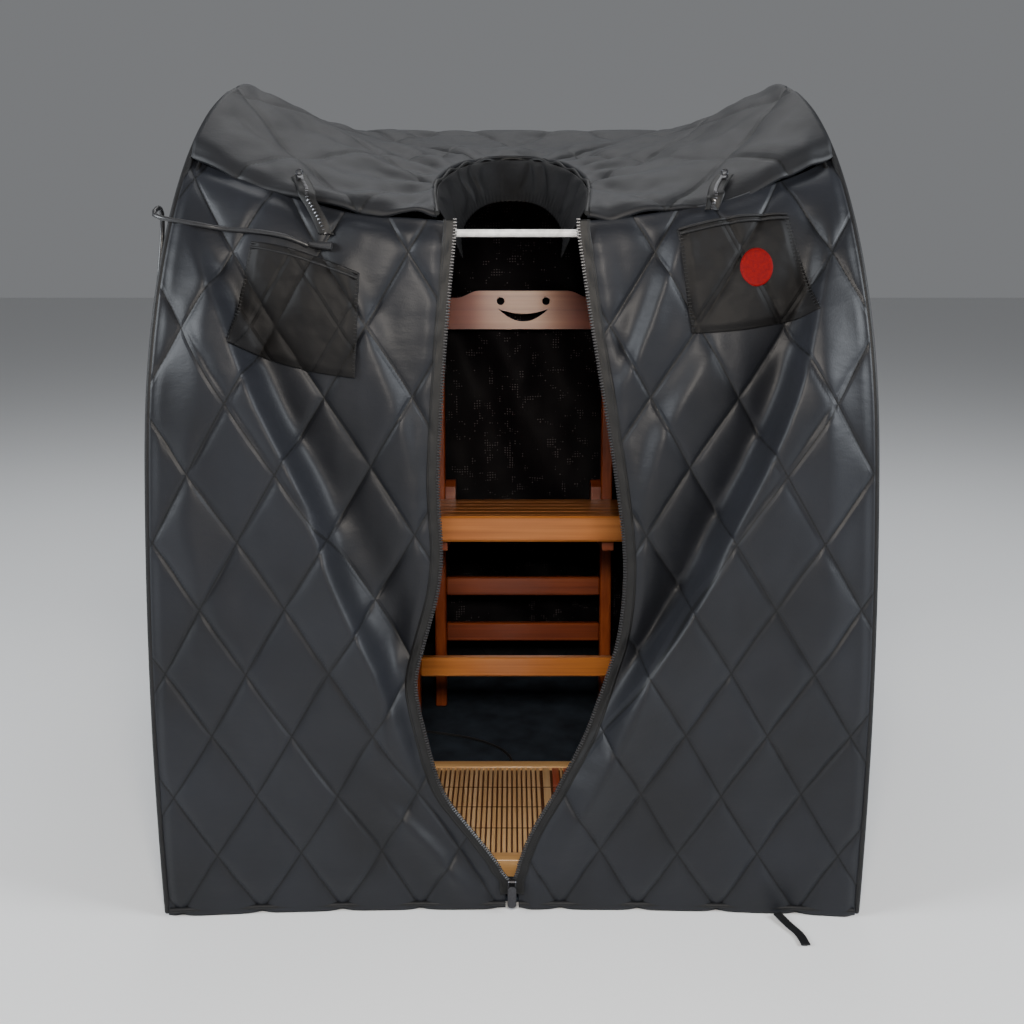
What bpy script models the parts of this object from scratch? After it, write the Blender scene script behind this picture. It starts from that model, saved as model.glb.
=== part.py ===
"""Portable infrared sauna tent with its folding bamboo chair and heated foot pad.

Metres, +Z up. The origin is on the floor under the middle of the tent, and the zip faces -Y.
"""

import math

import bmesh
import bpy
from mathutils import Matrix, Vector

# ---- driving dimensions of the tent ----
TENT_WIDTH = 0.81          # outside, at the floor
TOP_WIDTH = 0.672          # outside, between the tops of the side hoops
TENT_DEPTH = 0.72
TENT_HEIGHT = 0.943
SHOULDER_HEIGHT = 0.55     # where each side hoop starts to arch
ARCH_POWER = 2.15          # 2 is an ellipse, more is squarer
LEAN_POWER = 2.2           # how late the sides lean in
WALL = 0.008               # quilted fabric
PIPE_RADIUS = 0.0035       # sprung hoop in its piping
GAP = 0.0004               # between touching pieces
EDGE_CLEAR = 0.0012        # skin to hoop
FRONT_DRAWN_IN = 0.015     # how far the middle of the front stands behind the hoops
FRONT_BAR_Y = -0.312
FRONT_BAR_HEIGHT = 0.785   # fold between front and top, at the middle
FRONT_FOLD_AT_HOOP = 0.85  # the same fold, where it meets the hoops
REAR_BAR_Y = 0.17
SADDLE_POWER = 2.5         # how late the top rises to the hoops
BAR_RADIUS = 0.004
CAP_RADIUS = 0.0065
CAP_LENGTH = 0.014
BAR_SETBACK = 0.0130       # the front bar hangs back from the fold
MAT_THICKNESS = 0.004

# ---- openings and zips ----
NECK_HALF_WIDTH = 0.092
NECK_FRONT_HALF = 0.078
NECK_REAR = 0.60           # share of the way from the front bar to the rear bar
COLLAR_DEPTH = 0.045
COLLAR_WALL = 0.004
CHAIN_RADIUS = 0.0017
ZIP_CLEAR = 0.0045         # fabric edge to the middle of its row of teeth
SLIDER_HEIGHT = 0.030
LEFT_ZIP = ((0.0, 0.006), (0.03, 0.006), (0.079, 0.037), (0.143, 0.082), (0.217, 0.103), (0.278, 0.113),
            (0.325, 0.103), (0.383, 0.087), (0.43, 0.082), (0.495, 0.085), (0.58, 0.081), (0.68, 0.073),
            (0.785, 0.062))
RIGHT_ZIP = ((0.0, 0.006), (0.03, 0.006), (0.095, 0.027), (0.147, 0.055), (0.217, 0.088), (0.265, 0.104),
             (0.32, 0.121), (0.375, 0.128), (0.43, 0.128), (0.495, 0.120), (0.58, 0.106), (0.68, 0.088),
             (0.785, 0.071))
ARM_ZIP_TOP = (0.229, 0.824)
ARM_ZIP_ENDS = {"left": (0.193, 0.768), "right": (0.207, 0.792)}
ARM_ZIP_RAISE = 0.0030

# ---- pockets, as (distance from the middle, height) of their corners ----
POCKET_RAISE = 0.0008
POCKET_THICK = 0.003
LEFT_POCKET = ((0.294, 0.657), (0.165, 0.621), (0.158, 0.728), (0.270, 0.757))
RIGHT_POCKET = ((0.189, 0.667), (0.3167, 0.690), (0.2867, 0.786), (0.1695, 0.772))
BADGE_SIZE = (0.034, 0.040)

# ---- heaters and control ----
HEATER_THICK = 0.006
HEATER_BOTTOM = 0.10
HEATER_TOP = 0.60
HEATER_CLEAR = 0.004        # from the rear wall where it starts to lean
BACK_HEATER_HALF = 0.27
SIDE_HEATER_FRONT = -0.20
SIDE_HEATER_REAR = 0.27
CONTROL_SIZE = (0.024, 0.075, 0.115)
CONTROL_Y = -0.08
CONTROL_Z = 0.44
BUTTON_RADIUS = 0.006
BUTTON_PROUD = 0.0022
BUTTON_TRAVEL = 0.0012
BUTTON_PITCH = 0.020

# ---- folding chair ----
CHAIR_X = 0.018            # the chair stands a little to the right
SEAT_TOP = 0.350           # at its hinge; the seat rises to the front
SEAT_TILT = 0.14
SEAT_FRONT = -0.005
SEAT_REAR = 0.236
SEAT_HALF = 0.170
SLAT_WIDTH = 0.038
SLAT_GROOVE = 0.004
SLAT_THICK = 0.016
FRONT_BOARD = (0.018, 0.036)
RAIL_WIDTH = 0.016
RAIL_HEIGHT = 0.034
POST_X = 0.135
POST_SIZE = (0.018, 0.026)
POST_FOOT_Y = 0.215
POST_LEAN = 0.125          # metres back for each metre up
POST_HEIGHT = 0.685
SEAT_PIVOT_RAISE = 0.016
TOP_RAIL = (0.060, 0.016)
RAIL_DROP = 0.011          # how much lower its ends are
RUNG = (0.030, 0.014)
RUNG_HEIGHTS = (0.130, 0.206)
LEG_X = 0.160
LEG_SIZE = (0.018, 0.026)
LEG_HINGE_Y = 0.040
LEG_LEAN = 0.12
FRONT_RAIL_HEIGHT = 0.158
FRONT_RAIL = (0.028, 0.016)
BOLT_RADIUS = 0.003
BOLT_CLEAR = 0.0004

# ---- foot pad ----
PAD_HALF = 0.200
PAD_FRONT = -0.290
PAD_REAR = -0.030
PAD_RAIL = 0.018
PAD_HEIGHT = 0.024
PAD_DECK = 0.004
PAD_FILM = 0.003

# ---- leads ----
LEAD_DIAMETER = 0.005
SLEEVE_RADIUS = 0.0048
PAD_LEAD_DIAMETER = 0.004
COIL_RADIUS = 0.030
COIL_HALF = 0.009
COIL_CENTRE = (-0.18, 0.425)
PLUG_SIZE = (0.034, 0.026, 0.020)
TAPE_WIDTH = 0.007
TAPE_THICK = 0.0014


# ---- scene and materials ----

def clear_scene():
    for obj in list(bpy.data.objects):
        bpy.data.objects.remove(obj)


def material(name, color, roughness, metallic=0.0):
    made = bpy.data.materials.new(name)
    made.use_nodes = True
    shader = made.node_tree.nodes["Principled BSDF"]
    shader.inputs["Base Color"].default_value = (*color, 1)
    shader.inputs["Roughness"].default_value = roughness
    shader.inputs["Metallic"].default_value = metallic
    return made


def new_object(name, mesh, paint, pivot=(0, 0, 0)):
    """The mesh is in world metres; the object's origin goes to pivot."""
    mesh.transform(Matrix.Translation(-Vector(pivot)))
    obj = bpy.data.objects.new(name, mesh)
    obj.location = pivot
    obj.data.materials.append(paint)
    bpy.context.scene.collection.objects.link(obj)
    return obj


def mesh_of(name, bm, smooth=True):
    bmesh.ops.recalc_face_normals(bm, faces=bm.faces)
    mesh = bpy.data.meshes.new(name)
    bm.to_mesh(mesh)
    bm.free()
    if smooth:
        mesh.shade_smooth()
        mesh.set_sharp_from_angle(angle=math.radians(35))
    return mesh


def box(name, size, centre, paint, turn=None, pivot=(0, 0, 0), bevel=0.0):
    """A board: size along X, Y and Z, turned about its centre, with eased edges."""
    bm = bmesh.new()
    bmesh.ops.create_cube(bm, size=1.0, matrix=Matrix.Diagonal((*size, 1)))
    if bevel:
        bmesh.ops.bevel(bm, geom=bm.edges, offset=bevel, segments=1, profile=0.5, affect="EDGES")
    placed = Matrix.Translation(centre) @ (turn or Matrix.Identity(4))
    bmesh.ops.transform(bm, matrix=placed, verts=bm.verts)
    return new_object(name, mesh_of(name, bm, smooth=False), paint, pivot)


def rod(name, radius, length, centre, along, paint, sides=16, pivot=(0, 0, 0), radius_end=None):
    """A round bar, or a cone when radius_end differs, along a direction."""
    bm = bmesh.new()
    end = radius if radius_end is None else radius_end
    bmesh.ops.create_cone(bm, cap_ends=True, segments=sides, radius1=radius, radius2=end, depth=length)
    turn = Vector(along).to_track_quat("Z", "Y").to_matrix().to_4x4()
    bmesh.ops.transform(bm, matrix=Matrix.Translation(centre) @ turn, verts=bm.verts)
    return new_object(name, mesh_of(name, bm), paint, pivot)


def patch(name, point, columns, rows, thickness, paint):
    """A curved sheet: point(u, v) is its outer face, and its thickness goes inwards."""
    bm = bmesh.new()
    bmesh.ops.create_grid(bm, x_segments=columns, y_segments=rows, size=1.0)
    for vert in bm.verts:
        vert.co = point((vert.co.x + 1) / 2, (vert.co.y + 1) / 2)
    mesh = bpy.data.meshes.new(name)
    bm.to_mesh(mesh)
    bm.free()
    mesh.shade_smooth()
    obj = new_object(name, mesh, paint)
    solid = obj.modifiers.new("Thickness", "SOLIDIFY")
    solid.thickness = thickness
    solid.offset = -1
    return obj


def tube(name, points, radius, paint, closed=False, resolution=2):
    curve = bpy.data.curves.new(name, "CURVE")
    curve.dimensions = "3D"
    curve.bevel_depth = radius
    curve.bevel_resolution = resolution
    curve.use_fill_caps = not closed
    spline = curve.splines.new("POLY")
    spline.points.add(len(points) - 1)
    for place, point in zip(spline.points, points):
        place.co = (*point, 1)
    spline.use_cyclic_u = closed
    curve.materials.append(paint)
    obj = bpy.data.objects.new(name, curve)
    bpy.context.scene.collection.objects.link(obj)
    return obj


def smooth_route(points, step):
    """Points a step apart along one smooth curve through the route's own points."""
    route = [Vector(p) for p in points]
    padded = [2 * route[0] - route[1], *route, 2 * route[-1] - route[-2]]
    fine = []
    for a, b, c, d in zip(padded, padded[1:], padded[2:], padded[3:]):
        for k in range(24):
            t = k / 24
            fine.append(0.5 * (2 * b + (c - a) * t + (2 * a - 5 * b + 4 * c - d) * t**2
                               + (3 * b - a - 3 * c + d) * t**3))
    fine.append(route[-1])
    length = sum((q - p).length for p, q in zip(fine, fine[1:]))
    count = max(2, round(length / step))
    return evenly(fine, count)


def evenly(line, count):
    """count + 1 points at equal distances along a line of points."""
    lengths = [0.0]
    for p, q in zip(line, line[1:]):
        lengths.append(lengths[-1] + (q - p).length)
    made, k = [], 0
    for i in range(count + 1):
        want = lengths[-1] * i / count
        while k < len(line) - 2 and lengths[k + 1] < want:
            k += 1
        share = (want - lengths[k]) / max(lengths[k + 1] - lengths[k], 1e-9)
        made.append(line[k].lerp(line[k + 1], min(max(share, 0), 1)))
    return made


# ---- the tent's shape ----

def half_width(z):
    lean = (TENT_WIDTH - TOP_WIDTH) / 2
    return TENT_WIDTH / 2 - lean * (max(z, 0) / TENT_HEIGHT) ** LEAN_POWER


def skin_reach(z):
    """Where the skin stops beside the hoop."""
    return half_width(z) - 2 * PIPE_RADIUS - EDGE_CLEAR


def arch_y(z, inset=0.0):
    """Half the depth of the side outline at a height."""
    rise = (z - SHOULDER_HEIGHT) / (TENT_HEIGHT - inset - SHOULDER_HEIGHT)
    if rise <= 0:
        return TENT_DEPTH / 2 - inset
    return (TENT_DEPTH / 2 - inset) * max(1 - rise**ARCH_POWER, 0) ** (1 / ARCH_POWER)


def arch_point(angle, inset=0.0):
    """(y, z) on the arch; 0 is the front spring point and pi the rear one."""
    c, s = math.cos(angle), math.sin(angle)
    y = -math.copysign(abs(c) ** (2 / ARCH_POWER), c) * (TENT_DEPTH / 2 - inset)
    return y, SHOULDER_HEIGHT + (TENT_HEIGHT - inset - SHOULDER_HEIGHT) * abs(s) ** (2 / ARCH_POWER)


def hoop_line():
    """The hoop's outline from the front floor edge, over the top, to the back floor edge."""
    base = TENT_DEPTH / 2
    straight = 12
    line = [Vector((0, -base, SHOULDER_HEIGHT * i / straight)) for i in range(straight)]
    line += [Vector((0, *arch_point(math.pi * i / 48))) for i in range(49)]
    line += [Vector((0, base, SHOULDER_HEIGHT * (1 - i / straight))) for i in range(1, straight + 1)]
    return line


HOOP = evenly(hoop_line(), 400)


def station(point):
    return min(range(len(HOOP)), key=lambda i: (HOOP[i] - point).length)


FRONT_FOLD_Y = -arch_y(FRONT_FOLD_AT_HOOP)
REAR_FOLD_Z = arch_point(math.pi - math.acos((REAR_BAR_Y / (TENT_DEPTH / 2)) ** (ARCH_POWER / 2)))[1]
FOLDS = (0, station(Vector((0, FRONT_FOLD_Y, FRONT_FOLD_AT_HOOP))),
         station(Vector((0, REAR_BAR_Y, REAR_FOLD_Z))),
         len(HOOP) - 1)
CENTRE_KNOTS = ((FRONT_DRAWN_IN - TENT_DEPTH / 2, 0.0), (FRONT_BAR_Y, FRONT_BAR_HEIGHT),
                (REAR_BAR_Y, REAR_FOLD_Z))


def hoop_at(s):
    """The hoop's (y, z): s is 0 at the front floor edge, 1 and 2 at the folds, 3 at the back floor edge."""
    part = min(int(s), 2)
    place = FOLDS[part] + (FOLDS[part + 1] - FOLDS[part]) * (s - part)
    low = min(int(place), len(HOOP) - 2)
    return HOOP[low].lerp(HOOP[low + 1], place - low)


def centre_at(s):
    """The same line along the middle of the tent, straight between the two bars."""
    if s >= 2:
        return hoop_at(s)
    part = int(s)
    a, b = (Vector((0, *CENTRE_KNOTS[k])) for k in (part, part + 1))
    return a.lerp(b, s - part)


def skin(u, s):
    """A point of the outer skin; u is -1 to 1 between the hoops."""
    middle, edge = centre_at(s), hoop_at(s)
    place = middle.lerp(edge, abs(u) ** SADDLE_POWER)
    reach = skin_reach(edge.z)
    return Vector((u * reach, place.y, place.z))


def skin_normal(u, s):
    e = 0.004
    across = skin(min(u + e, 1), s) - skin(max(u - e, -1), s)
    low, high = max(s - e, 0), s + e
    along = skin(u, high) - skin(u, low)
    return across.cross(along).normalized()


def skin_over(x, z):
    """(u, s) of the front skin at a place seen from the front."""
    low, high = 0.0, 1.6
    for _ in range(40):
        s = (low + high) / 2
        u = x / skin_reach(hoop_at(s).z)
        if skin(u, s).z < z:
            low = s
        else:
            high = s
    return u, s


def on_skin(x, z, raised=0.0):
    u, s = skin_over(x, z)
    return skin(u, s) + skin_normal(u, s) * raised


# ---- fabric ----

def side_panel(name, side, paint):
    """The wall inside one hoop, leaning in towards the top."""
    inset = 2 * PIPE_RADIUS + 0.0025
    bottom = inset
    peak = 0.90

    def point(u, v):
        if v < 0.5:
            z = bottom + (SHOULDER_HEIGHT - bottom) * v * 2
        else:
            z = arch_point(math.pi / 2 * (v - 0.5) * 2 * peak, inset)[1]
        y = (2 * u - 1) * arch_y(z, inset) * side
        return Vector((side * half_width(z), y, z))

    return patch(name, point, 8, 14, WALL, paint)


def zip_x(outline, z):
    """The zip's distance from the middle at a height, on a smooth line through its points."""
    for k in range(len(outline) - 1):
        if z <= outline[k + 1][0] or k == len(outline) - 2:
            break
    (z0, x0), (z1, x1) = outline[k], outline[k + 1]
    before = outline[max(k - 1, 0)]
    after = outline[min(k + 2, len(outline) - 1)]
    m0 = (x1 - before[1]) / (z1 - before[0])
    m1 = (after[1] - x0) / (after[0] - z0)
    h = z1 - z0
    t = (z - z0) / h
    return ((2 * t**3 - 3 * t**2 + 1) * x0 + (t**3 - 2 * t**2 + t) * h * m0
            + (3 * t**2 - 2 * t**3) * x1 + (t**3 - t**2) * h * m1)


def flap(name, side, outline, paint):
    """One half of the front, from its zip edge to the hoop and up to the fold."""
    def point(u, v):
        s = 0.0014 + v * (1 - 0.0028)
        z = centre_at(s).z
        inner = zip_x(outline, z) / skin_reach(z)
        across = inner + (1 - inner) * u
        if side < 0:
            across = -(1 - (1 - inner) * u)
        return skin(across, s)

    return patch(name, point, 9, 22, WALL, paint)


def neck_contour(t, grow=0.0):
    """The neck opening in (x, s): t runs from the front left, round the back, to the front right."""
    angle = math.pi * (1 - t)
    width = NECK_HALF_WIDTH + grow
    depth = NECK_REAR + grow * 2
    x = width * math.copysign(abs(math.cos(angle)) ** 0.8, math.cos(angle))
    along = depth * math.sin(angle) ** 0.8
    narrow = 1 - (1 - NECK_FRONT_HALF / NECK_HALF_WIDTH) * max(1 - along * 4, 0)
    return x * narrow, 1 + along


def top_panel(name, paint):
    """The roof: it runs round the neck opening and out to the hoops and the rear fold."""
    step = (WALL + 2 * GAP) / (REAR_BAR_Y - CENTRE_KNOTS[1][0])
    front, rear = 1 + step, 2 - step
    side = 1 - (WALL * 0.62 + GAP) / skin_reach(TENT_HEIGHT)

    def outer(t):
        corner = 0.30
        if t < corner:
            return -side, front + (rear - front) * t / corner
        if t > 1 - corner:
            return side, front + (rear - front) * (1 - t) / corner
        return side * (-1 + 2 * (t - corner) / (1 - 2 * corner)), rear

    def point(u, v):
        x, s = neck_contour(u)
        s = max(s, front)
        reach = skin_reach(hoop_at(s).z)
        far_u, far_s = outer(u)
        near_u = x / reach
        return skin(near_u + (far_u - near_u) * v, s + (far_s - s) * v)

    return patch(name, point, 40, 6, WALL, paint)


def neck_collar(name, paint):
    """The gathered collar that hangs inside the neck opening."""
    inset = 0.010

    def point(u, v):
        x, s = neck_contour(0.04 + 0.92 * u, -inset)
        reach = skin_reach(hoop_at(s).z)
        shrink = 1 - 0.28 * v
        top = skin(x / reach, s)
        return Vector((top.x * shrink, top.y, top.z - 0.004 - COLLAR_DEPTH * v))

    return patch(name, point, 24, 2, COLLAR_WALL, paint)


def back_panel(name, paint):
    def point(u, v):
        return skin(2 * u - 1, 2.0025 + (2.9999 - 2.0025) * v)

    return patch(name, point, 6, 16, WALL, paint)


def hoop(name, side, paint):
    """A closed sprung hoop in its piping, with small round corners at the floor."""
    r = PIPE_RADIUS
    corner = 0.010
    base = TENT_DEPTH / 2 - r
    line = []
    for i in range(4):
        a = math.pi / 2 * i / 3
        line.append((-base + corner - corner * math.sin(a), r + corner - corner * math.cos(a)))
    line += [(-base, SHOULDER_HEIGHT * k / 5) for k in range(1, 6)]
    line += [arch_point(math.pi * i / 36, r) for i in range(1, 36)]
    line += [(base, SHOULDER_HEIGHT * k / 5) for k in range(5, 0, -1)]
    for i in range(4):
        a = math.pi / 2 * i / 3
        line.append((base - corner + corner * math.cos(a), r + corner - corner * math.sin(a)))
    points = [Vector((side * (half_width(z) - r), y, z)) for y, z in line]
    return tube(name, points, r, paint, closed=True)


def floor_mat(name, paint):
    half = TENT_WIDTH / 2 - WALL - 0.004
    rear = TENT_DEPTH / 2 - WALL - 0.004
    front = FRONT_DRAWN_IN - rear
    size = (2 * half, rear - front, MAT_THICKNESS)
    return box(name, size, (0, (rear + front) / 2, MAT_THICKNESS / 2), paint)


# ---- bars ----

def spreaders(paint, cap_paint):
    """The bars from hoop to hoop under the fabric; the front one has a cap on each end."""
    sink = WALL + CAP_RADIUS + 0.0015
    y, z = CENTRE_KNOTS[1][0] + sink + BAR_SETBACK, FRONT_BAR_HEIGHT - sink
    half = half_width(z) - WALL - CAP_LENGTH - 0.003
    rod("front_spreader_bar", BAR_RADIUS, 2 * half, (0, y, z), (1, 0, 0), paint)
    for label, side in (("left", -1), ("right", 1)):
        x = side * (half + GAP + CAP_LENGTH / 2)
        rod(f"front_bar_{label}_cap", CAP_RADIUS, CAP_LENGTH, (x, y, z), (1, 0, 0), cap_paint, sides=12)
    rear_z = REAR_FOLD_Z - sink - 0.002
    rear_half = half_width(rear_z) - WALL - 0.003
    rod("rear_spreader_bar", BAR_RADIUS, 2 * rear_half, (0, REAR_BAR_Y - 0.008, rear_z), (1, 0, 0), paint)


# ---- zips ----

def main_zip(paint, metal):
    """Two rows of teeth along the flaps' edges, the slider at the foot, and its pull."""
    for label, side, outline in (("left", -1, LEFT_ZIP), ("right", 1, RIGHT_ZIP)):
        points = []
        top, low = FRONT_BAR_HEIGHT - 0.004, SLIDER_HEIGHT + 0.016
        for i in range(45):
            z = low + (top - low) * i / 44
            middle = centre_at(z / FRONT_BAR_HEIGHT)
            points.append(Vector((side * (zip_x(outline, z) - ZIP_CLEAR), middle.y + WALL / 2, z)))
        tube(f"{label}_zip_teeth", evenly(points, 44), CHAIN_RADIUS, paint)
    front = centre_at(SLIDER_HEIGHT / FRONT_BAR_HEIGHT).y
    box("zip_slider", (0.010, 0.007, 0.016), (0, front - 0.0005 - 0.0035, SLIDER_HEIGHT), metal, bevel=0.0015)
    zip_pull(front, metal)


def zip_pull(front, metal):
    """A flat tab with a round hole, hanging from the slider's bridge."""
    pivot = (0, front - 0.0122, SLIDER_HEIGHT + 0.001)
    bm = bmesh.new()
    bmesh.ops.create_cube(bm, size=1.0, matrix=Matrix.Diagonal((0.010, 0.0024, 0.028, 1)))
    upright = [e for e in bm.edges if abs(e.verts[0].co.y - e.verts[1].co.y) > 0.001]
    bmesh.ops.bevel(bm, geom=upright, offset=0.0045, segments=3, profile=0.5, affect="EDGES")
    bmesh.ops.transform(bm, matrix=Matrix.Translation((0, pivot[1], pivot[2] - 0.010)), verts=bm.verts)
    new_object("zip_pull", mesh_of("zip_pull", bm, smooth=False), metal, pivot)


def arm_zip(label, side, paint, metal):
    """A short slanting zip for an arm, its slider at the top end."""
    steps = 10
    line = []
    for i in range(steps + 1):
        x, z = (a + (b - a) * i / steps for a, b in zip(ARM_ZIP_TOP, ARM_ZIP_ENDS[label]))
        line.append(on_skin(side * x, z, ARM_ZIP_RAISE))
    top = line[0]
    way = (line[1] - top).normalized()
    tube(f"{label}_arm_zip", line, CHAIN_RADIUS, paint)
    u, s = skin_over(side * ARM_ZIP_TOP[0], ARM_ZIP_TOP[1])
    out = skin_normal(u, s)
    out = (out - way * out.dot(way)).normalized()
    turn = Matrix((way.cross(out), out, way)).transposed().to_4x4()
    centre = top + way * 0.008 + out * (CHAIN_RADIUS + GAP + 0.0016)
    box(f"{label}_arm_slider", (0.008, 0.0032, 0.012), centre, metal, turn=turn, pivot=centre, bevel=0.001)


# ---- pockets ----

def pocket(name, side, corners, paint):
    """A flat patch pocket on a flap, given by its four corners from the lower outer one."""
    lower_a, lower_b, upper_b, upper_a = [Vector((side * x, z)) for x, z in corners]

    def point(u, v):
        flat = lower_a.lerp(lower_b, u).lerp(upper_a.lerp(upper_b, u), v)
        return on_skin(flat.x, flat.y, POCKET_RAISE + POCKET_THICK)

    return patch(name, point, 6, 6, POCKET_THICK, paint)


def badge(paint):
    """A plain oval label on the right pocket."""
    middle = Vector((0.2535, 0.733))
    place = on_skin(middle.x, middle.y, POCKET_RAISE + POCKET_THICK + 0.0014)
    u, s = skin_over(middle.x, middle.y)
    out = skin_normal(u, s)
    bm = bmesh.new()
    bmesh.ops.create_cone(bm, cap_ends=True, segments=20, radius1=0.5, radius2=0.5, depth=1.0)
    bmesh.ops.scale(bm, vec=(BADGE_SIZE[0], BADGE_SIZE[1], 0.0012), verts=bm.verts)
    turn = out.to_track_quat("Z", "Y").to_matrix().to_4x4()
    bmesh.ops.transform(bm, matrix=Matrix.Translation(place) @ turn, verts=bm.verts)
    new_object("pocket_badge", mesh_of("pocket_badge", bm), paint)


# ---- heaters and control ----

def heaters(paint):
    back = arch_y(HEATER_TOP) - WALL - HEATER_CLEAR - HEATER_THICK / 2
    middle = (HEATER_TOP + HEATER_BOTTOM) / 2
    tall = HEATER_TOP - HEATER_BOTTOM
    box("back_heater", (2 * BACK_HEATER_HALF, HEATER_THICK, tall), (0, back, middle), paint)
    for label, side in (("left", -1), ("right", 1)):
        def point(u, v, side=side):
            z = HEATER_BOTTOM + tall * v
            y = SIDE_HEATER_FRONT + (SIDE_HEATER_REAR - SIDE_HEATER_FRONT) * (u if side > 0 else 1 - u)
            return Vector((side * (half_width(z) - WALL - 0.003), y, z))
        patch(f"{label}_heater", point, 2, 6, HEATER_THICK, paint)


def control_unit(shell, glass, button_paint):
    """The control box on the inside of the left wall, with a window and three push buttons."""
    wall_x = -(half_width(CONTROL_Z + CONTROL_SIZE[2] / 2) - WALL - 0.003 - HEATER_THICK)
    deep, wide, tall = CONTROL_SIZE
    x = wall_x + 0.001 + deep / 2
    face = x + deep / 2
    body = box("control_box", CONTROL_SIZE, (x, CONTROL_Y, CONTROL_Z), shell, bevel=0.003)
    box("control_window", (0.0016, wide * 0.7, tall * 0.32),
        (face + GAP + 0.0008, CONTROL_Y, CONTROL_Z + tall * 0.2), glass)
    for k, label in enumerate(("minus", "power", "plus")):
        y = CONTROL_Y + (1 - k) * BUTTON_PITCH
        z = CONTROL_Z - tall * 0.2
        pocket_depth = BUTTON_TRAVEL + 0.0012
        well = rod(f"cut_{label}", BUTTON_RADIUS + 0.0004, 2 * pocket_depth, (face, y, z), (1, 0, 0), shell,
                   sides=20)
        cut_with(body, well)
        length = BUTTON_PROUD + pocket_depth - BUTTON_TRAVEL - 0.0004
        start = face - pocket_depth + BUTTON_TRAVEL + 0.0004
        place = (start + length / 2, y, z)
        rod(f"button_{label}", BUTTON_RADIUS, length, place, (1, 0, 0), button_paint, sides=20, pivot=place)
    box("pad_socket", (0.018, 0.030, 0.024), (-(TENT_WIDTH / 2 - WALL - 0.004) + 0.012, 0.14,
                                              MAT_THICKNESS + GAP + 0.012), shell, bevel=0.002)


# ---- chair ----

def post_y(z):
    return POST_FOOT_Y + POST_LEAN * z


def leaned(lean):
    return Matrix.Rotation(-math.atan(lean), 4, "X")


def chair_frame(wood):
    """The back frame: two leaning posts, the rail with its smile, and two rungs."""
    foot = MAT_THICKNESS + GAP
    slope = math.sqrt(1 + POST_LEAN**2)
    for label, side in (("left", -1), ("right", 1)):
        middle = (foot + POST_HEIGHT) / 2
        size = (POST_SIZE[0], POST_SIZE[1], (POST_HEIGHT - foot - 0.004) * slope)
        name = f"chair_{label}_post"
        post = box(name, size, (side * POST_X, post_y(middle), middle), wood, turn=leaned(POST_LEAN),
                   bevel=0.002)
        bore = rod(f"cut_{label}_post", BOLT_RADIUS + BOLT_CLEAR, 0.03, (side * POST_X, *seat_pivot()), (1, 0, 0),
                   wood)
        cut_with(post, bore)
    inner = 2 * (POST_X - POST_SIZE[0] / 2 - GAP)
    top_rail(inner, wood)
    for label, z in zip(("lower", "upper"), RUNG_HEIGHTS):
        box(f"chair_{label}_rung", (inner, RUNG[1], RUNG[0]), (0, post_y(z), z), wood, turn=leaned(POST_LEAN),
            bevel=0.002)


def cut_with(obj, cutter, operation="DIFFERENCE"):
    cutter.hide_render = True
    cutter.display_type = "WIRE"
    cut = obj.modifiers.new(cutter.name, "BOOLEAN")
    cut.object = cutter
    cut.operation = operation


def top_rail(inner, wood):
    """The rail of the backrest, its top edge raised in the middle, with two eyes and a smile cut through."""
    tall, thick = TOP_RAIL
    z = POST_HEIGHT - 0.006 - tall / 2
    half, low_end, flat = inner / 2, tall / 2 - RAIL_DROP, inner / 2 - 0.055
    outline = [(half, -tall / 2), (half, low_end)]
    for i in range(7):
        share = i / 6
        outline.append((half - 0.020 - (half - 0.020 - flat) * share,
                        low_end + RAIL_DROP * (3 * share**2 - 2 * share**3)))
    outline += [(-x, up) for x, up in reversed(outline)]
    bm = bmesh.new()
    ring = [bm.verts.new((x, -thick / 2, up)) for x, up in outline]
    face = bm.faces.new(ring)
    grown = bmesh.ops.extrude_face_region(bm, geom=[face])
    moved = [g for g in grown["geom"] if isinstance(g, bmesh.types.BMVert)]
    bmesh.ops.translate(bm, vec=(0, thick, 0), verts=moved)
    bmesh.ops.transform(bm, matrix=Matrix.Translation((0, post_y(z), z)) @ leaned(POST_LEAN), verts=bm.verts)
    rail = new_object("chair_top_rail", mesh_of("chair_top_rail", bm, smooth=False), wood)
    across = Vector((0, 1, -POST_LEAN)).normalized()
    centre = Vector((0, post_y(z), z))
    up = Vector((0, POST_LEAN, 1)).normalized()
    for label, side in (("left", -1), ("right", 1)):
        eye = centre + Vector((side * 0.036, 0, 0)) + up * 0.014
        cut_with(rail, rod(f"cut_{label}_eye", 0.0062, 0.05, eye, across, wood))
    cut_with(rail, smile(centre, across, up, wood))


def smile(centre, across, up, wood):
    """A crescent: a wide shallow arc over a deeper one, pointed at both ends."""
    bm = bmesh.new()
    half, drop_top, drop_low = 0.040, 0.008, 0.020
    outline = []
    for i in range(13):
        x = -half + 2 * half * i / 12
        outline.append((x, 0.002 - drop_top * (1 - (x / half) ** 2)))
    for i in range(11, 0, -1):
        x = -half + 2 * half * i / 12
        outline.append((x, 0.002 - drop_low * (1 - (x / half) ** 2)))
    ring = [bm.verts.new(centre + Vector((x, 0, 0)) + up * z - across * 0.02) for x, z in outline]
    face = bm.faces.new(ring)
    grown = bmesh.ops.extrude_face_region(bm, geom=[face])
    moved = [g for g in grown["geom"] if isinstance(g, bmesh.types.BMVert)]
    bmesh.ops.translate(bm, vec=across * 0.04, verts=moved)
    return new_object("cut_smile", mesh_of("cut_smile", bm, smooth=False), wood)


def seat_pivot():
    """(y, z) of the seat's hinge on the posts."""
    z = SEAT_TOP + SEAT_PIVOT_RAISE
    return post_y(z), z


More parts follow.
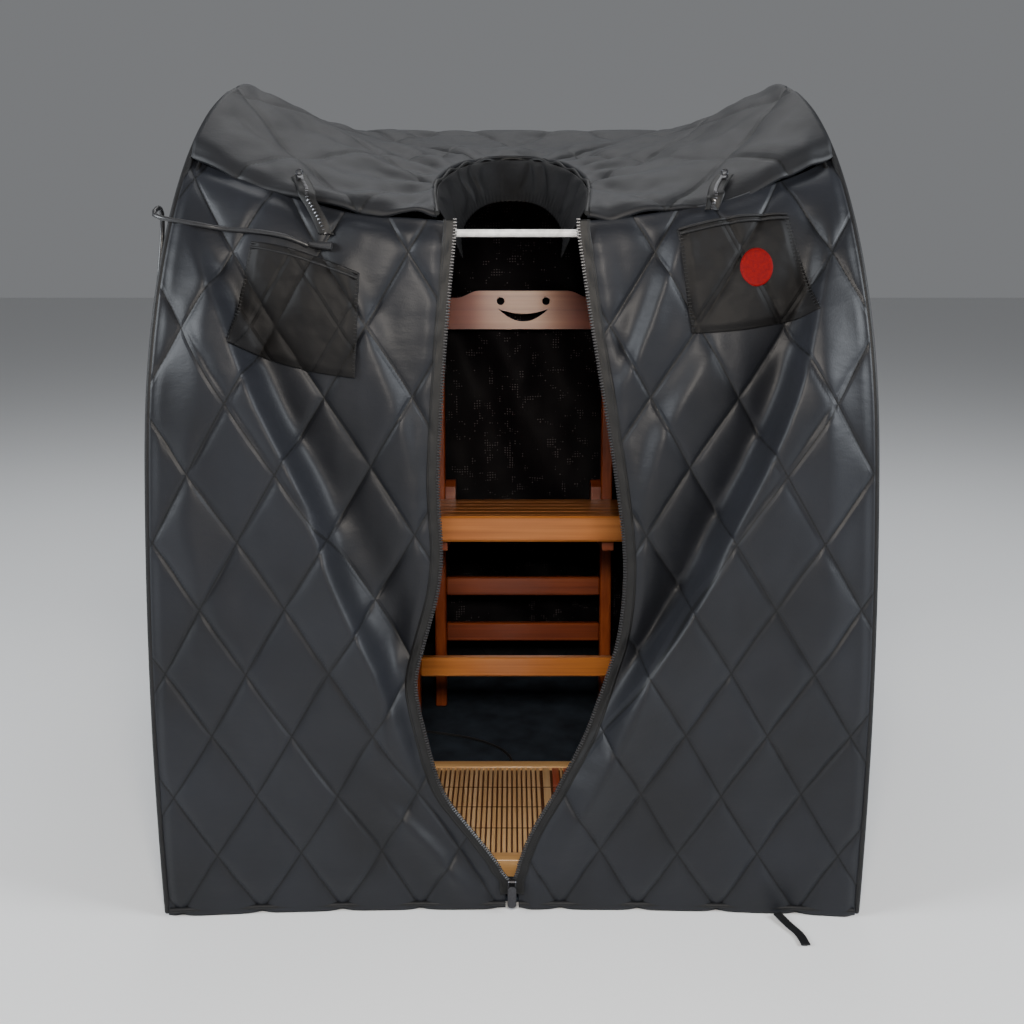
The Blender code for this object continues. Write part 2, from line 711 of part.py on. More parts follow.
def level_leg_pivot():
    """(y, z) of the front legs' hinge under the seat, before the seat is tilted."""
    return LEG_HINGE_Y, SEAT_TOP - SLAT_THICK - GAP - RAIL_HEIGHT / 2


def leg_pivot():
    """The same hinge on the tilted seat."""
    centre = Vector((0, *seat_pivot()))
    hinge = Matrix.Rotation(-SEAT_TILT, 3, "X") @ (Vector((0, *level_leg_pivot())) - centre) + centre
    return hinge.y, hinge.z


def seat(wood, metal):
    """Slatted deck, front board, two side rails with ears at the hinge, and the hinge bolts."""
    pivot = (0, *seat_pivot())
    deck_low = SEAT_TOP - SLAT_THICK
    seat_deck(wood, pivot)
    board_z = SEAT_TOP - FRONT_BOARD[1] / 2
    box("seat_front_board", (2 * SEAT_HALF, FRONT_BOARD[0], FRONT_BOARD[1]),
        (0, SEAT_FRONT + FRONT_BOARD[0] / 2, board_z), wood, pivot=pivot, bevel=0.003)
    rail_x = POST_X - POST_SIZE[0] / 2 - 0.001 - RAIL_WIDTH / 2
    start = SEAT_FRONT + FRONT_BOARD[0] + GAP
    for label, side in (("left", -1), ("right", 1)):
        outline = ((start, deck_low - GAP), (start, deck_low - GAP - RAIL_HEIGHT),
                   (pivot[1] + 0.006, deck_low - GAP - RAIL_HEIGHT), (pivot[1] + 0.013, deck_low),
                   (pivot[1] + 0.013, pivot[2] + 0.008), (pivot[1] + 0.005, pivot[2] + 0.014),
                   (pivot[1] - 0.009, pivot[2] + 0.014), (SEAT_REAR + 0.0024, pivot[2] + 0.004),
                   (SEAT_REAR + 0.0024, deck_low - GAP))
        rail = extruded(f"seat_{label}_rail", outline, side * rail_x, RAIL_WIDTH, wood, pivot)
        for hinge, where in (("seat", seat_pivot()), ("leg", level_leg_pivot())):
            bore = rod(f"cut_{label}_rail_{hinge}", BOLT_RADIUS + BOLT_CLEAR, 0.03, (side * rail_x, *where),
                       (1, 0, 0), wood, pivot=pivot)
            cut_with(rail, bore)
        bolt_length = RAIL_WIDTH + POST_SIZE[0] + 0.001
        rod(f"seat_{label}_bolt", BOLT_RADIUS, bolt_length,
            (side * (rail_x - RAIL_WIDTH / 2 + bolt_length / 2), *seat_pivot()), (1, 0, 0), metal, pivot=pivot)


def tilt_seat():
    """Turns the seat and its bores about the seat hinge."""
    names = ("seat_", "cut_left_rail", "cut_right_rail")
    for obj in bpy.data.objects:
        if obj.name.startswith(names):
            obj.rotation_euler.x = -SEAT_TILT


def place_chair():
    """Moves the whole chair off the middle line."""
    names = ("seat_", "chair_", "leg_hinge", "cut_left", "cut_right", "cut_smile")
    for obj in bpy.data.objects:
        if obj.name.startswith(names):
            obj.location.x += CHAIR_X


def seat_deck(wood, pivot):
    """The slats, side by side across the seat, as one grooved board."""
    start = SEAT_FRONT + FRONT_BOARD[0] + GAP
    count = round((SEAT_REAR - start) / (SLAT_WIDTH + SLAT_GROOVE))
    pitch = (SEAT_REAR - start + SLAT_GROOVE) / count
    outline = [(start, SEAT_TOP - SLAT_THICK)]
    for k in range(count):
        left = start + k * pitch
        right = left + pitch - SLAT_GROOVE
        outline += [(left, SEAT_TOP), (right, SEAT_TOP)]
        if k < count - 1:
            outline += [(right, SEAT_TOP - SLAT_THICK * 0.6),
                        (right + SLAT_GROOVE, SEAT_TOP - SLAT_THICK * 0.6)]
    outline += [(SEAT_REAR, SEAT_TOP - SLAT_THICK)]
    extruded("seat_deck", outline[::-1], 0, 2 * SEAT_HALF, wood, pivot)


def extruded(name, outline, x, width, paint, pivot):
    """A shape drawn in (y, z), as thick as width, centred on x."""
    bm = bmesh.new()
    ring = [bm.verts.new((x - width / 2, y, z)) for y, z in outline]
    face = bm.faces.new(ring)
    grown = bmesh.ops.extrude_face_region(bm, geom=[face])
    moved = [g for g in grown["geom"] if isinstance(g, bmesh.types.BMVert)]
    bmesh.ops.translate(bm, vec=(width, 0, 0), verts=moved)
    return new_object(name, mesh_of(name, bm, smooth=False), paint, pivot)


def front_legs(wood, metal):
    """The front frame: two legs on their hinge under the seat, and the rail between them."""
    y, z = leg_pivot()
    pivot = (0, y, z)
    foot = MAT_THICKNESS + GAP
    top = z + 0.009
    slope = math.sqrt(1 + LEG_LEAN**2)
    middle = (top + foot) / 2
    centre_y = y - LEG_LEAN * (z - middle)
    for label, side in (("left", -1), ("right", 1)):
        size = (LEG_SIZE[0], LEG_SIZE[1], (top - foot - 0.006) * slope)
        leg = box(f"chair_{label}_front_leg", size, (side * LEG_X, centre_y, middle), wood, turn=leaned(LEG_LEAN),
                  pivot=pivot, bevel=0.003)
        bore = rod(f"cut_{label}_leg", BOLT_RADIUS + BOLT_CLEAR, 0.03, (side * LEG_X, y, z), (1, 0, 0), wood)
        cut_with(leg, bore)
    rail_y = y - LEG_LEAN * (z - FRONT_RAIL_HEIGHT)
    inner = 2 * (LEG_X - LEG_SIZE[0] / 2 - GAP)
    box("chair_front_rail", (inner, FRONT_RAIL[1], FRONT_RAIL[0]), (0, rail_y, FRONT_RAIL_HEIGHT), wood,
        turn=leaned(LEG_LEAN), pivot=pivot, bevel=0.002)
    rod("leg_hinge_rod", BOLT_RADIUS, 2 * (LEG_X + LEG_SIZE[0] / 2 + 0.001), (0, y, z), (1, 0, 0), metal,
        pivot=pivot)


# ---- foot pad ----

def foot_pad(wood, film):
    """A heated foot board: a frame, a slatted deck in it, and the heating film under the deck."""
    base = MAT_THICKNESS + GAP
    deep = PAD_REAR - PAD_FRONT
    middle = (PAD_REAR + PAD_FRONT) / 2
    z = base + PAD_HEIGHT / 2
    frame = box("foot_pad_frame", (2 * PAD_HALF, deep, PAD_HEIGHT), (0, middle, z), wood, bevel=0.002)
    hole = box("cut_pad", (2 * (PAD_HALF - PAD_RAIL), deep - 2 * PAD_RAIL, PAD_HEIGHT + 0.01),
               (0, middle, z), wood)
    cut_with(frame, hole)
    inner = (2 * (PAD_HALF - PAD_RAIL - GAP), deep - 2 * PAD_RAIL - 2 * GAP)
    deck_top = base + PAD_HEIGHT - 0.0015
    box("foot_pad_deck", (*inner, PAD_DECK), (0, middle, deck_top - PAD_DECK / 2), wood)
    film_top = deck_top - PAD_DECK - GAP
    box("foot_pad_heater", (*inner, PAD_FILM), (0, middle, film_top - PAD_FILM / 2), film)


# ---- leads and tape ----

def power_lead(black):
    """From the left arm zip, round the hoop, down the side and along the floor to a coil behind."""
    sleeve = on_skin(-0.186, 0.7545, SLEEVE_RADIUS + 0.001)
    start = on_skin(-0.210, 0.7565, SLEEVE_RADIUS + 0.001)
    way = (start - sleeve).normalized()
    rod("lead_sleeve", SLEEVE_RADIUS, (start - sleeve).length, (start + sleeve) / 2, way, black, sides=12,
        radius_end=SLEEVE_RADIUS * 0.65)
    route = [start + way * GAP]
    for x, z in ((-0.225, 0.759), (-0.240, 0.762), (-0.265, 0.766), (-0.290, 0.769), (-0.320, 0.773)):
        route.append(on_skin(x, z, LEAD_DIAMETER * 0.8))
    route.append(on_skin(-0.345, 0.779, 0.010))
    route += [beside_hoop(*place) for place in LEAD_DOWN]
    edge = -TENT_WIDTH / 2 - 0.020
    route += [Vector((edge + x, y, 0.0036)) for x, y in LEAD_ALONG]
    route += [Vector((x, y, 0.0036)) for x, y in LEAD_BEHIND]
    tube("power_lead", smooth_route(route, 4.6 * LEAD_DIAMETER), LEAD_DIAMETER / 2, black)


def beside_hoop(z, out, back):
    """A place beside the left hoop: out from its side, and back from its front."""
    return Vector((-half_width(z) - out, -arch_y(z) + back, z))


LEAD_DOWN = ((0.786, 0.012, 0.002), (0.795, 0.018, 0.018), (0.790, 0.020, 0.042), (0.765, 0.020, 0.062),
             (0.70, 0.018, 0.078), (0.60, 0.016, 0.095), (0.48, 0.014, 0.112), (0.36, 0.012, 0.128),
             (0.24, 0.010, 0.145), (0.13, 0.010, 0.158), (0.06, 0.012, 0.172), (0.018, 0.018, 0.200))
LEAD_ALONG = ((-0.003, -0.120), (-0.003, -0.05), (0.001, 0.04), (0.005, 0.13), (0.004, 0.22), (0.003, 0.31))
LEAD_BEHIND = ((-0.409, 0.376), (-0.375, 0.398), (-0.320, 0.399), (-0.265, 0.392), (-0.235, 0.3895),
               (-0.204, 0.3885))


def lead_coil(black):
    """The rest of the lead, wound up behind the tent, with its plug beside it."""
    bm = bmesh.new()
    section = [(COIL_RADIUS + 0.0055 * math.cos(a), COIL_HALF + 0.0004 + COIL_HALF * math.sin(a))
               for a in (math.pi / 4 * k + math.pi / 8 for k in range(8))]
    ring = [bm.verts.new((COIL_CENTRE[0] + r, COIL_CENTRE[1], z)) for r, z in section]
    edges = [bm.edges.new((ring[i], ring[(i + 1) % 8])) for i in range(8)]
    bmesh.ops.spin(bm, geom=ring + edges, cent=(*COIL_CENTRE, 0), axis=(0, 0, 1), angle=2 * math.pi, steps=24,
                   use_merge=True)
    new_object("lead_coil", mesh_of("lead_coil", bm), black)


def lead_plug(black, metal):
    """A two-pin plug that lies on the floor next to the coil."""
    x, y = -0.085, 0.425
    z = PLUG_SIZE[2] / 2 + 0.0004
    plug = box("lead_plug", PLUG_SIZE, (x, y, z), black, bevel=0.004)
    relief_start = x - PLUG_SIZE[0] / 2 - GAP
    rod("plug_strain_relief", 0.0036, 0.022, (relief_start - 0.011, y, z), (1, 0, 0), black, sides=12,
        radius_end=0.0068)
    for label, side in (("left", -1), ("right", 1)):
        pin = rod(f"cut_{label}_pin", 0.0022, 0.022, (x + PLUG_SIZE[0] / 2 + 0.007, y + side * 0.0065, z),
                  (1, 0, 0), metal, sides=10)
        cut_with(plug, pin, "UNION")


def pad_lead(black):
    """Along the floor mat from the foot pad to the socket at the left wall."""
    r = PAD_LEAD_DIAMETER / 2
    z = MAT_THICKNESS + GAP + r
    route = ((0.0, PAD_REAR + 0.0006, z + 0.004), (0.0005, -0.016, z + 0.0015), (0.001, 0.0, z), (-0.004, 0.028, z),
             (-0.020, 0.055, z), (-0.050, 0.080, z), (-0.095, 0.100, z), (-0.135, 0.112, z), (-0.18, 0.122, z),
             (-0.23, 0.130, z), (-0.28, 0.136, z), (-0.33, 0.139, z), (-0.3705, 0.140, z + 0.0015))
    tube("pad_lead", smooth_route(route, 3 * PAD_LEAD_DIAMETER), r, black)


def tie_tape(paint):
    """A short storage tie that lies on the floor at the front, sewn under the right flap."""
    front = -TENT_DEPTH / 2 - 0.0025
    route = [(0.308, front, 0.003), (0.316, front - 0.018, 0.0016), (0.324, front - 0.036, 0.0009),
             (0.327, front - 0.056, 0.0009)]
    bm = bmesh.new()
    line = smooth_route(route, 0.006)
    rows = []
    for i, p in enumerate(line):
        way = (line[min(i + 1, len(line) - 1)] - line[max(i - 1, 0)]).normalized()
        across = way.cross(Vector((0, 0, 1))).normalized() * TAPE_WIDTH / 2
        up = Vector((0, 0, TAPE_THICK / 2))
        rows.append([bm.verts.new(q) for q in
                     (p - across - up, p + across - up, p + across + up, p - across + up)])
    for a, b in zip(rows, rows[1:]):
        for k in range(4):
            bm.faces.new((a[k], a[(k + 1) % 4], b[(k + 1) % 4], b[k]))
    bm.faces.new(rows[0])
    bm.faces.new(rows[-1])
    new_object("tie_tape", mesh_of("tie_tape", bm, smooth=False), paint)


# ---- everything ----

def main():
    clear_scene()
    nylon = material("black nylon", (0.022, 0.024, 0.030), 0.42)
    binding = material("binding", (0.012, 0.012, 0.014), 0.6)
    lining = material("heater mesh", (0.02, 0.018, 0.024), 0.55)
    matting = material("floor mat", (0.10, 0.12, 0.15), 0.8)
    white = material("white bar", (0.85, 0.85, 0.83), 0.35)
    black = material("black plastic", (0.02, 0.02, 0.022), 0.4)
    teeth = material("zip teeth", (0.25, 0.25, 0.26), 0.35)
    metal = material("steel", (0.5, 0.5, 0.52), 0.3, 1.0)
    bamboo = material("dark bamboo", (0.45, 0.15, 0.04), 0.4)
    pale = material("pale bamboo", (0.75, 0.45, 0.18), 0.5)
    red = material("red label", (0.75, 0.02, 0.03), 0.45)
    glass = material("window", (0.03, 0.04, 0.05), 0.1)

    side_panel("left_side_panel", -1, nylon)
    side_panel("right_side_panel", 1, nylon)
    flap("left_flap", -1, LEFT_ZIP, nylon)
    flap("right_flap", 1, RIGHT_ZIP, nylon)
    top_panel("top_panel", nylon)
    neck_collar("neck_collar", binding)
    back_panel("back_panel", nylon)
    hoop("left_hoop", -1, binding)
    hoop("right_hoop", 1, binding)
    floor_mat("floor_mat", matting)
    spreaders(white, black)
    main_zip(teeth, metal)
    arm_zip("left", -1, teeth, metal)
    arm_zip("right", 1, teeth, metal)
    pocket("left_pocket", -1, LEFT_POCKET, nylon)
    pocket("right_pocket", 1, RIGHT_POCKET, nylon)
    badge(red)
    heaters(lining)
    control_unit(black, glass, white)
    chair_frame(bamboo)
    seat(bamboo, metal)
    front_legs(bamboo, metal)
    tilt_seat()
    place_chair()
    foot_pad(pale, lining)
    power_lead(black)
    lead_coil(black)
    lead_plug(black, metal)
    pad_lead(black)
    tie_tape(binding)


main()
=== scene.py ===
import math
import bmesh
import bpy
from mathutils import Matrix, Vector, noise


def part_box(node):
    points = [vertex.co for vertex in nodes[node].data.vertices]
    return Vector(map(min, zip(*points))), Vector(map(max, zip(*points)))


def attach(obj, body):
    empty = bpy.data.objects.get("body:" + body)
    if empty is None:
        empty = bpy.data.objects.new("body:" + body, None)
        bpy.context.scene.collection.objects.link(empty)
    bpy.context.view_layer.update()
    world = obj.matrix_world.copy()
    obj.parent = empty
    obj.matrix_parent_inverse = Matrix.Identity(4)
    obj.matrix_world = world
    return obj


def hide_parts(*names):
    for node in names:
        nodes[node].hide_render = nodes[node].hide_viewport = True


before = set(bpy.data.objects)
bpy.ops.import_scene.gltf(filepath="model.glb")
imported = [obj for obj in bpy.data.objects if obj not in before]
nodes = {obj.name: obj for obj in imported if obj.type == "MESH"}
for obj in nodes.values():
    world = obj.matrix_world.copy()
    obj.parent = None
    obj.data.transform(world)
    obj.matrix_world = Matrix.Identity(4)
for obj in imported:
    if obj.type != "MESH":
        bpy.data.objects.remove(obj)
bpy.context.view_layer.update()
scene = bpy.context.scene

# the camera stands close, a little above the neck opening
cameraSettings = {"place": (0.0, -1.4845, 0.7706), "down": 14.3, "lens": 38.67}
camera = bpy.data.objects.new("camera", bpy.data.cameras.new("camera"))
camera.location = cameraSettings["place"]
camera.rotation_euler = (math.radians(90 - cameraSettings["down"]), 0, 0)
camera.data.lens = cameraSettings["lens"]
camera.data.sensor_width = 36
camera.data.clip_start = 0.05
scene.collection.objects.link(camera)
scene.camera = camera


# left is the lower x, as seen from the front
sides = {"left": -1, "right": 1}


# small helpers for lines

def smoothLine(points, step):
    # a soft curve through the points, then even spacing
    points = [Vector(p) for p in points]
    fine = []
    for k in range(len(points) - 1):
        a, b = points[max(k - 1, 0)], points[k]
        c, d = points[k + 1], points[min(k + 2, len(points) - 1)]
        for i in range(12):
            t = i / 12
            fine.append(0.5 * (2 * b + (c - a) * t + (2 * a - 5 * b + 4 * c - d) * t**2
                               + (3 * b - a - 3 * c + d) * t**3))
    fine.append(points[-1])
    return spaced(fine, max(2, round(lineLength(fine) / step)))


def lineLength(line):
    return sum((b - a).length for a, b in zip(line, line[1:]))


def spaced(line, count):
    total, made, k, gone = lineLength(line), [], 0, 0.0
    for i in range(count):
        want = total * i / (count - 1)
        while k < len(line) - 2 and gone + (line[k + 1] - line[k]).length < want:
            gone += (line[k + 1] - line[k]).length
            k += 1
        part = (line[k + 1] - line[k]).length
        made.append(line[k].lerp(line[k + 1], min(max((want - gone) / max(part, 1e-9), 0), 1)))
    return made


def easeStep(a, b, x):
    t = min(max((x - a) / (b - a), 0), 1)
    return t * t * (3 - 2 * t)


# finishes

def newFinish(name, color, rough, metal=0.0):
    finish = bpy.data.materials.new(name)
    finish.use_nodes = True
    shader = finish.node_tree.nodes["Principled BSDF"]
    shader.inputs["Base Color"].default_value = (*color, 1)
    shader.inputs["Roughness"].default_value = rough
    shader.inputs["Metallic"].default_value = metal
    finish.diffuse_color = (*color, 1)
    return finish, finish.node_tree.nodes, finish.node_tree.links, shader


def addNode(tree, kind, **values):
    node = tree.new(kind)
    for key, value in values.items():
        if key in node.inputs:
            node.inputs[key].default_value = value
        else:
            setattr(node, key, value)
    return node


def mathNode(tree, links, operation, a, b=None):
    node = tree.new("ShaderNodeMath")
    node.operation = operation
    for slot, value in enumerate((a, b)):
        if value is None:
            continue
        if isinstance(value, (int, float)):
            node.inputs[slot].default_value = value
        else:
            links.new(value, node.inputs[slot])
    return node.outputs[0]


def rampOn(tree, links, factor, low, high, start=0.3, end=0.7):
    ramp = tree.new("ShaderNodeValToRGB")
    ramp.color_ramp.elements[0].position = start
    ramp.color_ramp.elements[1].position = end
    ramp.color_ramp.elements[0].color = (*low, 1)
    ramp.color_ramp.elements[1].color = (*high, 1)
    links.new(factor, ramp.inputs[0])
    return ramp.outputs[0]


def bumpOn(tree, links, shader, height, strength, distance):
    bump = addNode(tree, "ShaderNodeBump", Strength=strength, Distance=distance)
    links.new(height, bump.inputs["Height"])
    links.new(bump.outputs[0], shader.inputs["Normal"])


def objectSpace(tree, links, scale=None):
    # object coordinates, stretched if a scale is given
    place = addNode(tree, "ShaderNodeTexCoord").outputs["Object"]
    if scale is None:
        return place
    stretch = addNode(tree, "ShaderNodeMapping")
    stretch.inputs["Scale"].default_value = scale
    links.new(place, stretch.inputs["Vector"])
    return stretch.outputs[0]


def noiseOn(tree, links, place, **values):
    texture = addNode(tree, "ShaderNodeTexNoise", **values)
    links.new(place, texture.inputs["Vector"])
    return texture.outputs["Fac"]


def splitAxes(tree, links, place):
    axes = addNode(tree, "ShaderNodeSeparateXYZ")
    links.new(place, axes.inputs[0])
    return axes.outputs


def mixColor(tree, links, shader, factor, low, high, blend="MIX"):
    # each side is a color or another node's output
    mix = tree.new("ShaderNodeMixRGB")
    mix.blend_type = blend
    for slot, value in enumerate((factor, low, high)):
        if isinstance(value, bpy.types.NodeSocket):
            links.new(value, mix.inputs[slot])
        else:
            mix.inputs[slot].default_value = value
    links.new(mix.outputs[0], shader.inputs["Base Color"])


def quiltedNylon(name, dark, light, rough=0.50, shine=0.32):
    # satin cloth; its map counts diamonds, so whole numbers are the stitched lines
    finish, tree, links, shader = newFinish(name, light, rough)

    def calc(*terms):
        return mathNode(tree, links, *terms)

    place = objectSpace(tree, links)
    body = rampOn(tree, links, noiseOn(tree, links, place, Scale=9.0, Detail=4.0), dark, light, 0.25, 0.75)
    axes = splitAxes(tree, links, addNode(tree, "ShaderNodeUVMap", uv_map="quilt").outputs[0])
    lines, creases = [], []
    for along, across in ((0, 1), (1, 0)):
        away = calc("ABSOLUTE", calc("SUBTRACT", calc("FRACT", calc("ADD", axes[along], 0.5)), 0.5))
        thread = calc("LESS_THAN", away, 0.011)
        creases.append(calc("MINIMUM", away, 0.045))
        stitch = calc("GREATER_THAN", calc("FRACT", calc("MULTIPLY", axes[across], 26.0)), 0.28)
        lines.append(calc("MULTIPLY", thread, calc("ADD", calc("MULTIPLY", stitch, 0.45), 0.45)))
    # dark stitches, partly real thread and partly painted shade: the whole groove line is darkened between the
    # stitches as well, for the shade in the stitched crease
    stitchAndGrooveShadeColor = (*[c * 0.22 for c in dark], 1)
    mixColor(tree, links, shader, calc("MAXIMUM", *lines), body, stitchAndGrooveShadeColor)
    stretched = objectSpace(tree, links, (0.7, 0.7, 1.5))
    crinkle = noiseOn(tree, links, stretched, Scale=26.0, Detail=4.0, Roughness=0.55)
    weave = noiseOn(tree, links, place, Scale=620.0, Detail=2.0)
    height = calc("ADD", calc("MULTIPLY", crinkle, 0.55), calc("MULTIPLY", weave, 0.05))
    crease = calc("MULTIPLY", calc("MINIMUM", *creases), 9.0)
    bumpOn(tree, links, shader, calc("ADD", height, crease), 0.5, 0.004)
    shader.inputs["Specular IOR Level"].default_value = shine
    shader.inputs["Sheen Weight"].default_value = 0.02
    shader.inputs["Sheen Roughness"].default_value = 0.5
    shader.inputs["Sheen Tint"].default_value = (0.55, 0.62, 0.75, 1)
    return finish


def plainCloth(name, dark, light, rough, fine=900.0, crease=70.0, depth=0.0012, shine=0.35):
    finish, tree, links, shader = newFinish(name, light, rough)
    place = objectSpace(tree, links)
    grain = noiseOn(tree, links, place, Scale=fine, Detail=2.0)
    folds = noiseOn(tree, links, place, Scale=crease, Detail=5.0)
    # painted shade and light: the colour follows the fold height that also drives the bump, darker in the fold
    # hollows and lighter on the crests
    links.new(rampOn(tree, links, folds, dark, light), shader.inputs["Base Color"])
    height = mathNode(tree, links, "ADD", folds, mathNode(tree, links, "MULTIPLY", grain, 0.3))
    bumpOn(tree, links, shader, height, 0.4, depth)
    shader.inputs["Specular IOR Level"].default_value = shine
    return finish


def bamboo(name, dark, mid, light, along, rough=0.32, coat=0.35):
    # long fibres over broader boards, under lacquer; along is the axis they run on
    finish, tree, links, shader = newFinish(name, mid, rough)

    def grain(length, width, **values):
        scale = [length if i == along else width for i in range(3)]
        return noiseOn(tree, links, objectSpace(tree, links, scale), Scale=1.0, **values)

    fibre = grain(2.2, 150.0, Detail=5.0, Roughness=0.6)
    board = grain(6.0, 34.0, Detail=2.0)
    both = mathNode(tree, links, "ADD", mathNode(tree, links, "MULTIPLY", fibre, 0.65),
                    mathNode(tree, links, "MULTIPLY", board, 0.35))
    tone = rampOn(tree, links, both, dark, light, 0.30, 0.68)
    tone.node.color_ramp.elements.new(0.5).color = (*mid, 1)
    links.new(tone, shader.inputs["Base Color"])
    bumpOn(tree, links, shader, fibre, 0.25, 0.0006)
    shader.inputs["Coat Weight"].default_value = coat
    shader.inputs["Coat Roughness"].default_value = 0.18
    return finish


def shadeTowardEnds(finish, centre, tone, start, end):
    # painted shade: darker, redder wood away from the middle, standing in for the light falling off from the
    # rail's lit centre
    tree, links = finish.node_tree.nodes, finish.node_tree.links
    shader = next(node for node in tree if node.type == "BSDF_PRINCIPLED")
    across = splitAxes(tree, links, objectSpace(tree, links))[0]
    away = mathNode(tree, links, "ABSOLUTE", mathNode(tree, links, "SUBTRACT", across, centre))
    wood = shader.inputs["Base Color"].links[0].from_socket
    shade = rampOn(tree, links, away, (1, 1, 1), tone, start, end)
    mixColor(tree, links, shader, 1.0, wood, shade, "MULTIPLY")


def speckled(name, color, rough, scale, strength, metal=0.0):
    finish, tree, links, shader = newFinish(name, color, rough, metal)
    grain = noiseOn(tree, links, objectSpace(tree, links), Scale=scale, Detail=3.0)
    low = [c * 0.8 for c in color]
    high = [min(c * 1.2, 1) for c in color]
    links.new(rampOn(tree, links, grain, low, high), shader.inputs["Base Color"])
    bumpOn(tree, links, shader, grain, strength, 0.0005)
    return finish


def meshCurtain(name):
    # open mesh over a foil heater: bright pin holes in small patches; the foil behind is real, but showing it
    # bright only in scattered patches is a painted glint
    dark = (0.0022, 0.0012, 0.0024)
    finish, tree, links, shader = newFinish(name, dark, 0.62)

    def calc(*terms):
        return mathNode(tree, links, *terms)

    axes = splitAxes(tree, links, addNode(tree, "ShaderNodeUVMap", uv_map="quilt").outputs[0])
    offsets = [calc("SUBTRACT", calc("FRACT", axes[axis]), 0.5) for axis in (0, 1)]
    hole = calc("LESS_THAN", calc("ADD", *[calc("MULTIPLY", off, off) for off in offsets]), 0.050)
    patch = noiseOn(tree, links, objectSpace(tree, links), Scale=70.0, Detail=4.0)
    # painted glint: holes are lit only where the patch noise is high
    paintedFoilGlint = calc("MULTIPLY", hole, calc("GREATER_THAN", patch, 0.60))
    mixColor(tree, links, shader, paintedFoilGlint, (*dark, 1), (0.10, 0.085, 0.09, 1))
    bumpOn(tree, links, shader, hole, 0.5, 0.0006)
    shader.inputs["Specular IOR Level"].default_value = 0.16
    return finish


nylonFinish = quiltedNylon("charcoal quilted nylon", (0.0062, 0.0068, 0.0090), (0.0115, 0.0128, 0.0175))
roofFinish = quiltedNylon("roof nylon", (0.0058, 0.0060, 0.0072), (0.0100, 0.0104, 0.0125), 0.56)
pocketFinish = quiltedNylon("pocket nylon", (0.0036, 0.0032, 0.0033), (0.0068, 0.0062, 0.0063), 0.60, 0.20)
bindingFinish = plainCloth("edge binding", (0.0040, 0.0040, 0.0045), (0.0075, 0.0075, 0.0085), 0.58)
tapeFinish = plainCloth("zip tape", (0.0030, 0.0030, 0.0034), (0.0062, 0.0062, 0.0066), 0.55, 1400.0)
# painted shade: the collar is coloured darker than the other nylon, standing in for the shade inside the neck
# opening
shadedCollarFinish = plainCloth("collar nylon", (0.0022, 0.0021, 0.0026), (0.0046, 0.0046, 0.0056), 0.58,
                          crease=38.0, depth=0.003, shine=0.25)
rimFinish = plainCloth("neck rim", (0.0016, 0.0016, 0.0018), (0.0034, 0.0034, 0.0038), 0.5)
curtainFinish = meshCurtain("heater mesh")
matFinish = plainCloth("floor mat weave", (0.012, 0.018, 0.028), (0.034, 0.048, 0.070), 0.85, 500.0, 26.0,
                       0.0015)
# painted shade: a darker copy of the red post wood, for the rungs and seat rails that sit further back in
# shade
shadedRedWood = bamboo("red brown bamboo", (0.13, 0.022, 0.008), (0.25, 0.050, 0.014), (0.36, 0.085, 0.022), 0)
redPost = bamboo("red brown post", (0.20, 0.032, 0.008), (0.36, 0.070, 0.016), (0.50, 0.115, 0.026), 2)
railWood = bamboo("peach bamboo", (0.34, 0.110, 0.030), (0.44, 0.158, 0.046), (0.54, 0.215, 0.068), 0,
                  0.45, 0.1)
# painted shade on the top rail: its ends are darkened as if the light falls off there
shadeTowardEnds(railWood, 0.018, (0.60, 0.20, 0.05), 0.020, 0.085)
amberWood = bamboo("amber bamboo", (0.42, 0.125, 0.024), (0.60, 0.205, 0.045), (0.74, 0.30, 0.08), 0)
paleWood = bamboo("pale bamboo", (0.52, 0.26, 0.085), (0.70, 0.40, 0.16), (0.82, 0.53, 0.25), 0)
slatWood = bamboo("pale bamboo slat", (0.56, 0.33, 0.14), (0.74, 0.48, 0.24), (0.86, 0.62, 0.36), 1)
slatRed = bamboo("red slat", (0.28, 0.035, 0.012), (0.45, 0.07, 0.02), (0.58, 0.12, 0.035), 1)
underFinish = speckled("dark underlay", (0.10, 0.035, 0.014), 0.6, 300, 0.3)
whiteFinish = speckled("white bar", (0.82, 0.82, 0.80), 0.32, 120, 0.08)
blackPlastic = speckled("black plastic", (0.018, 0.018, 0.020), 0.42, 900, 0.25)
leadFinish = speckled("black lead", (0.022, 0.022, 0.024), 0.36, 400, 0.1)
toothFinish = speckled("zip tooth grey", (0.045, 0.045, 0.048), 0.30, 700, 0.15, 0.4)
brightTooth = speckled("dull zip tooth", (0.16, 0.16, 0.17), 0.36, 700, 0.15, 0.8)
gunMetal = speckled("gun metal", (0.055, 0.055, 0.060), 0.30, 500, 0.12, 0.9)
boltFinish = speckled("plain steel", (0.5, 0.5, 0.52), 0.30, 400, 0.15, 1.0)
labelRed = plainCloth("red embroidery", (0.120, 0.0003, 0.001), (0.190, 0.0006, 0.002), 0.6, 800.0, 300.0,
                      0.0008, 0.12)
glassFinish = speckled("smoked window", (0.030, 0.038, 0.045), 0.12, 60, 0.05)
print("finishes made")


# building helpers

def objectFrom(bm, name, finish, smooth=True, thick=0.0):
    mesh = bpy.data.meshes.new(name)
    bm.normal_update()
    bm.to_mesh(mesh)
    bm.free()
    made = bpy.data.objects.new(name, mesh)
    scene.collection.objects.link(made)
    mesh.materials.append(finish)
    if smooth:
        mesh.polygons.foreach_set("use_smooth", [True] * len(mesh.polygons))
    if thick:
        shell = made.modifiers.new("cloth", "SOLIDIFY")
        shell.thickness = thick
        shell.offset = -1
    return made


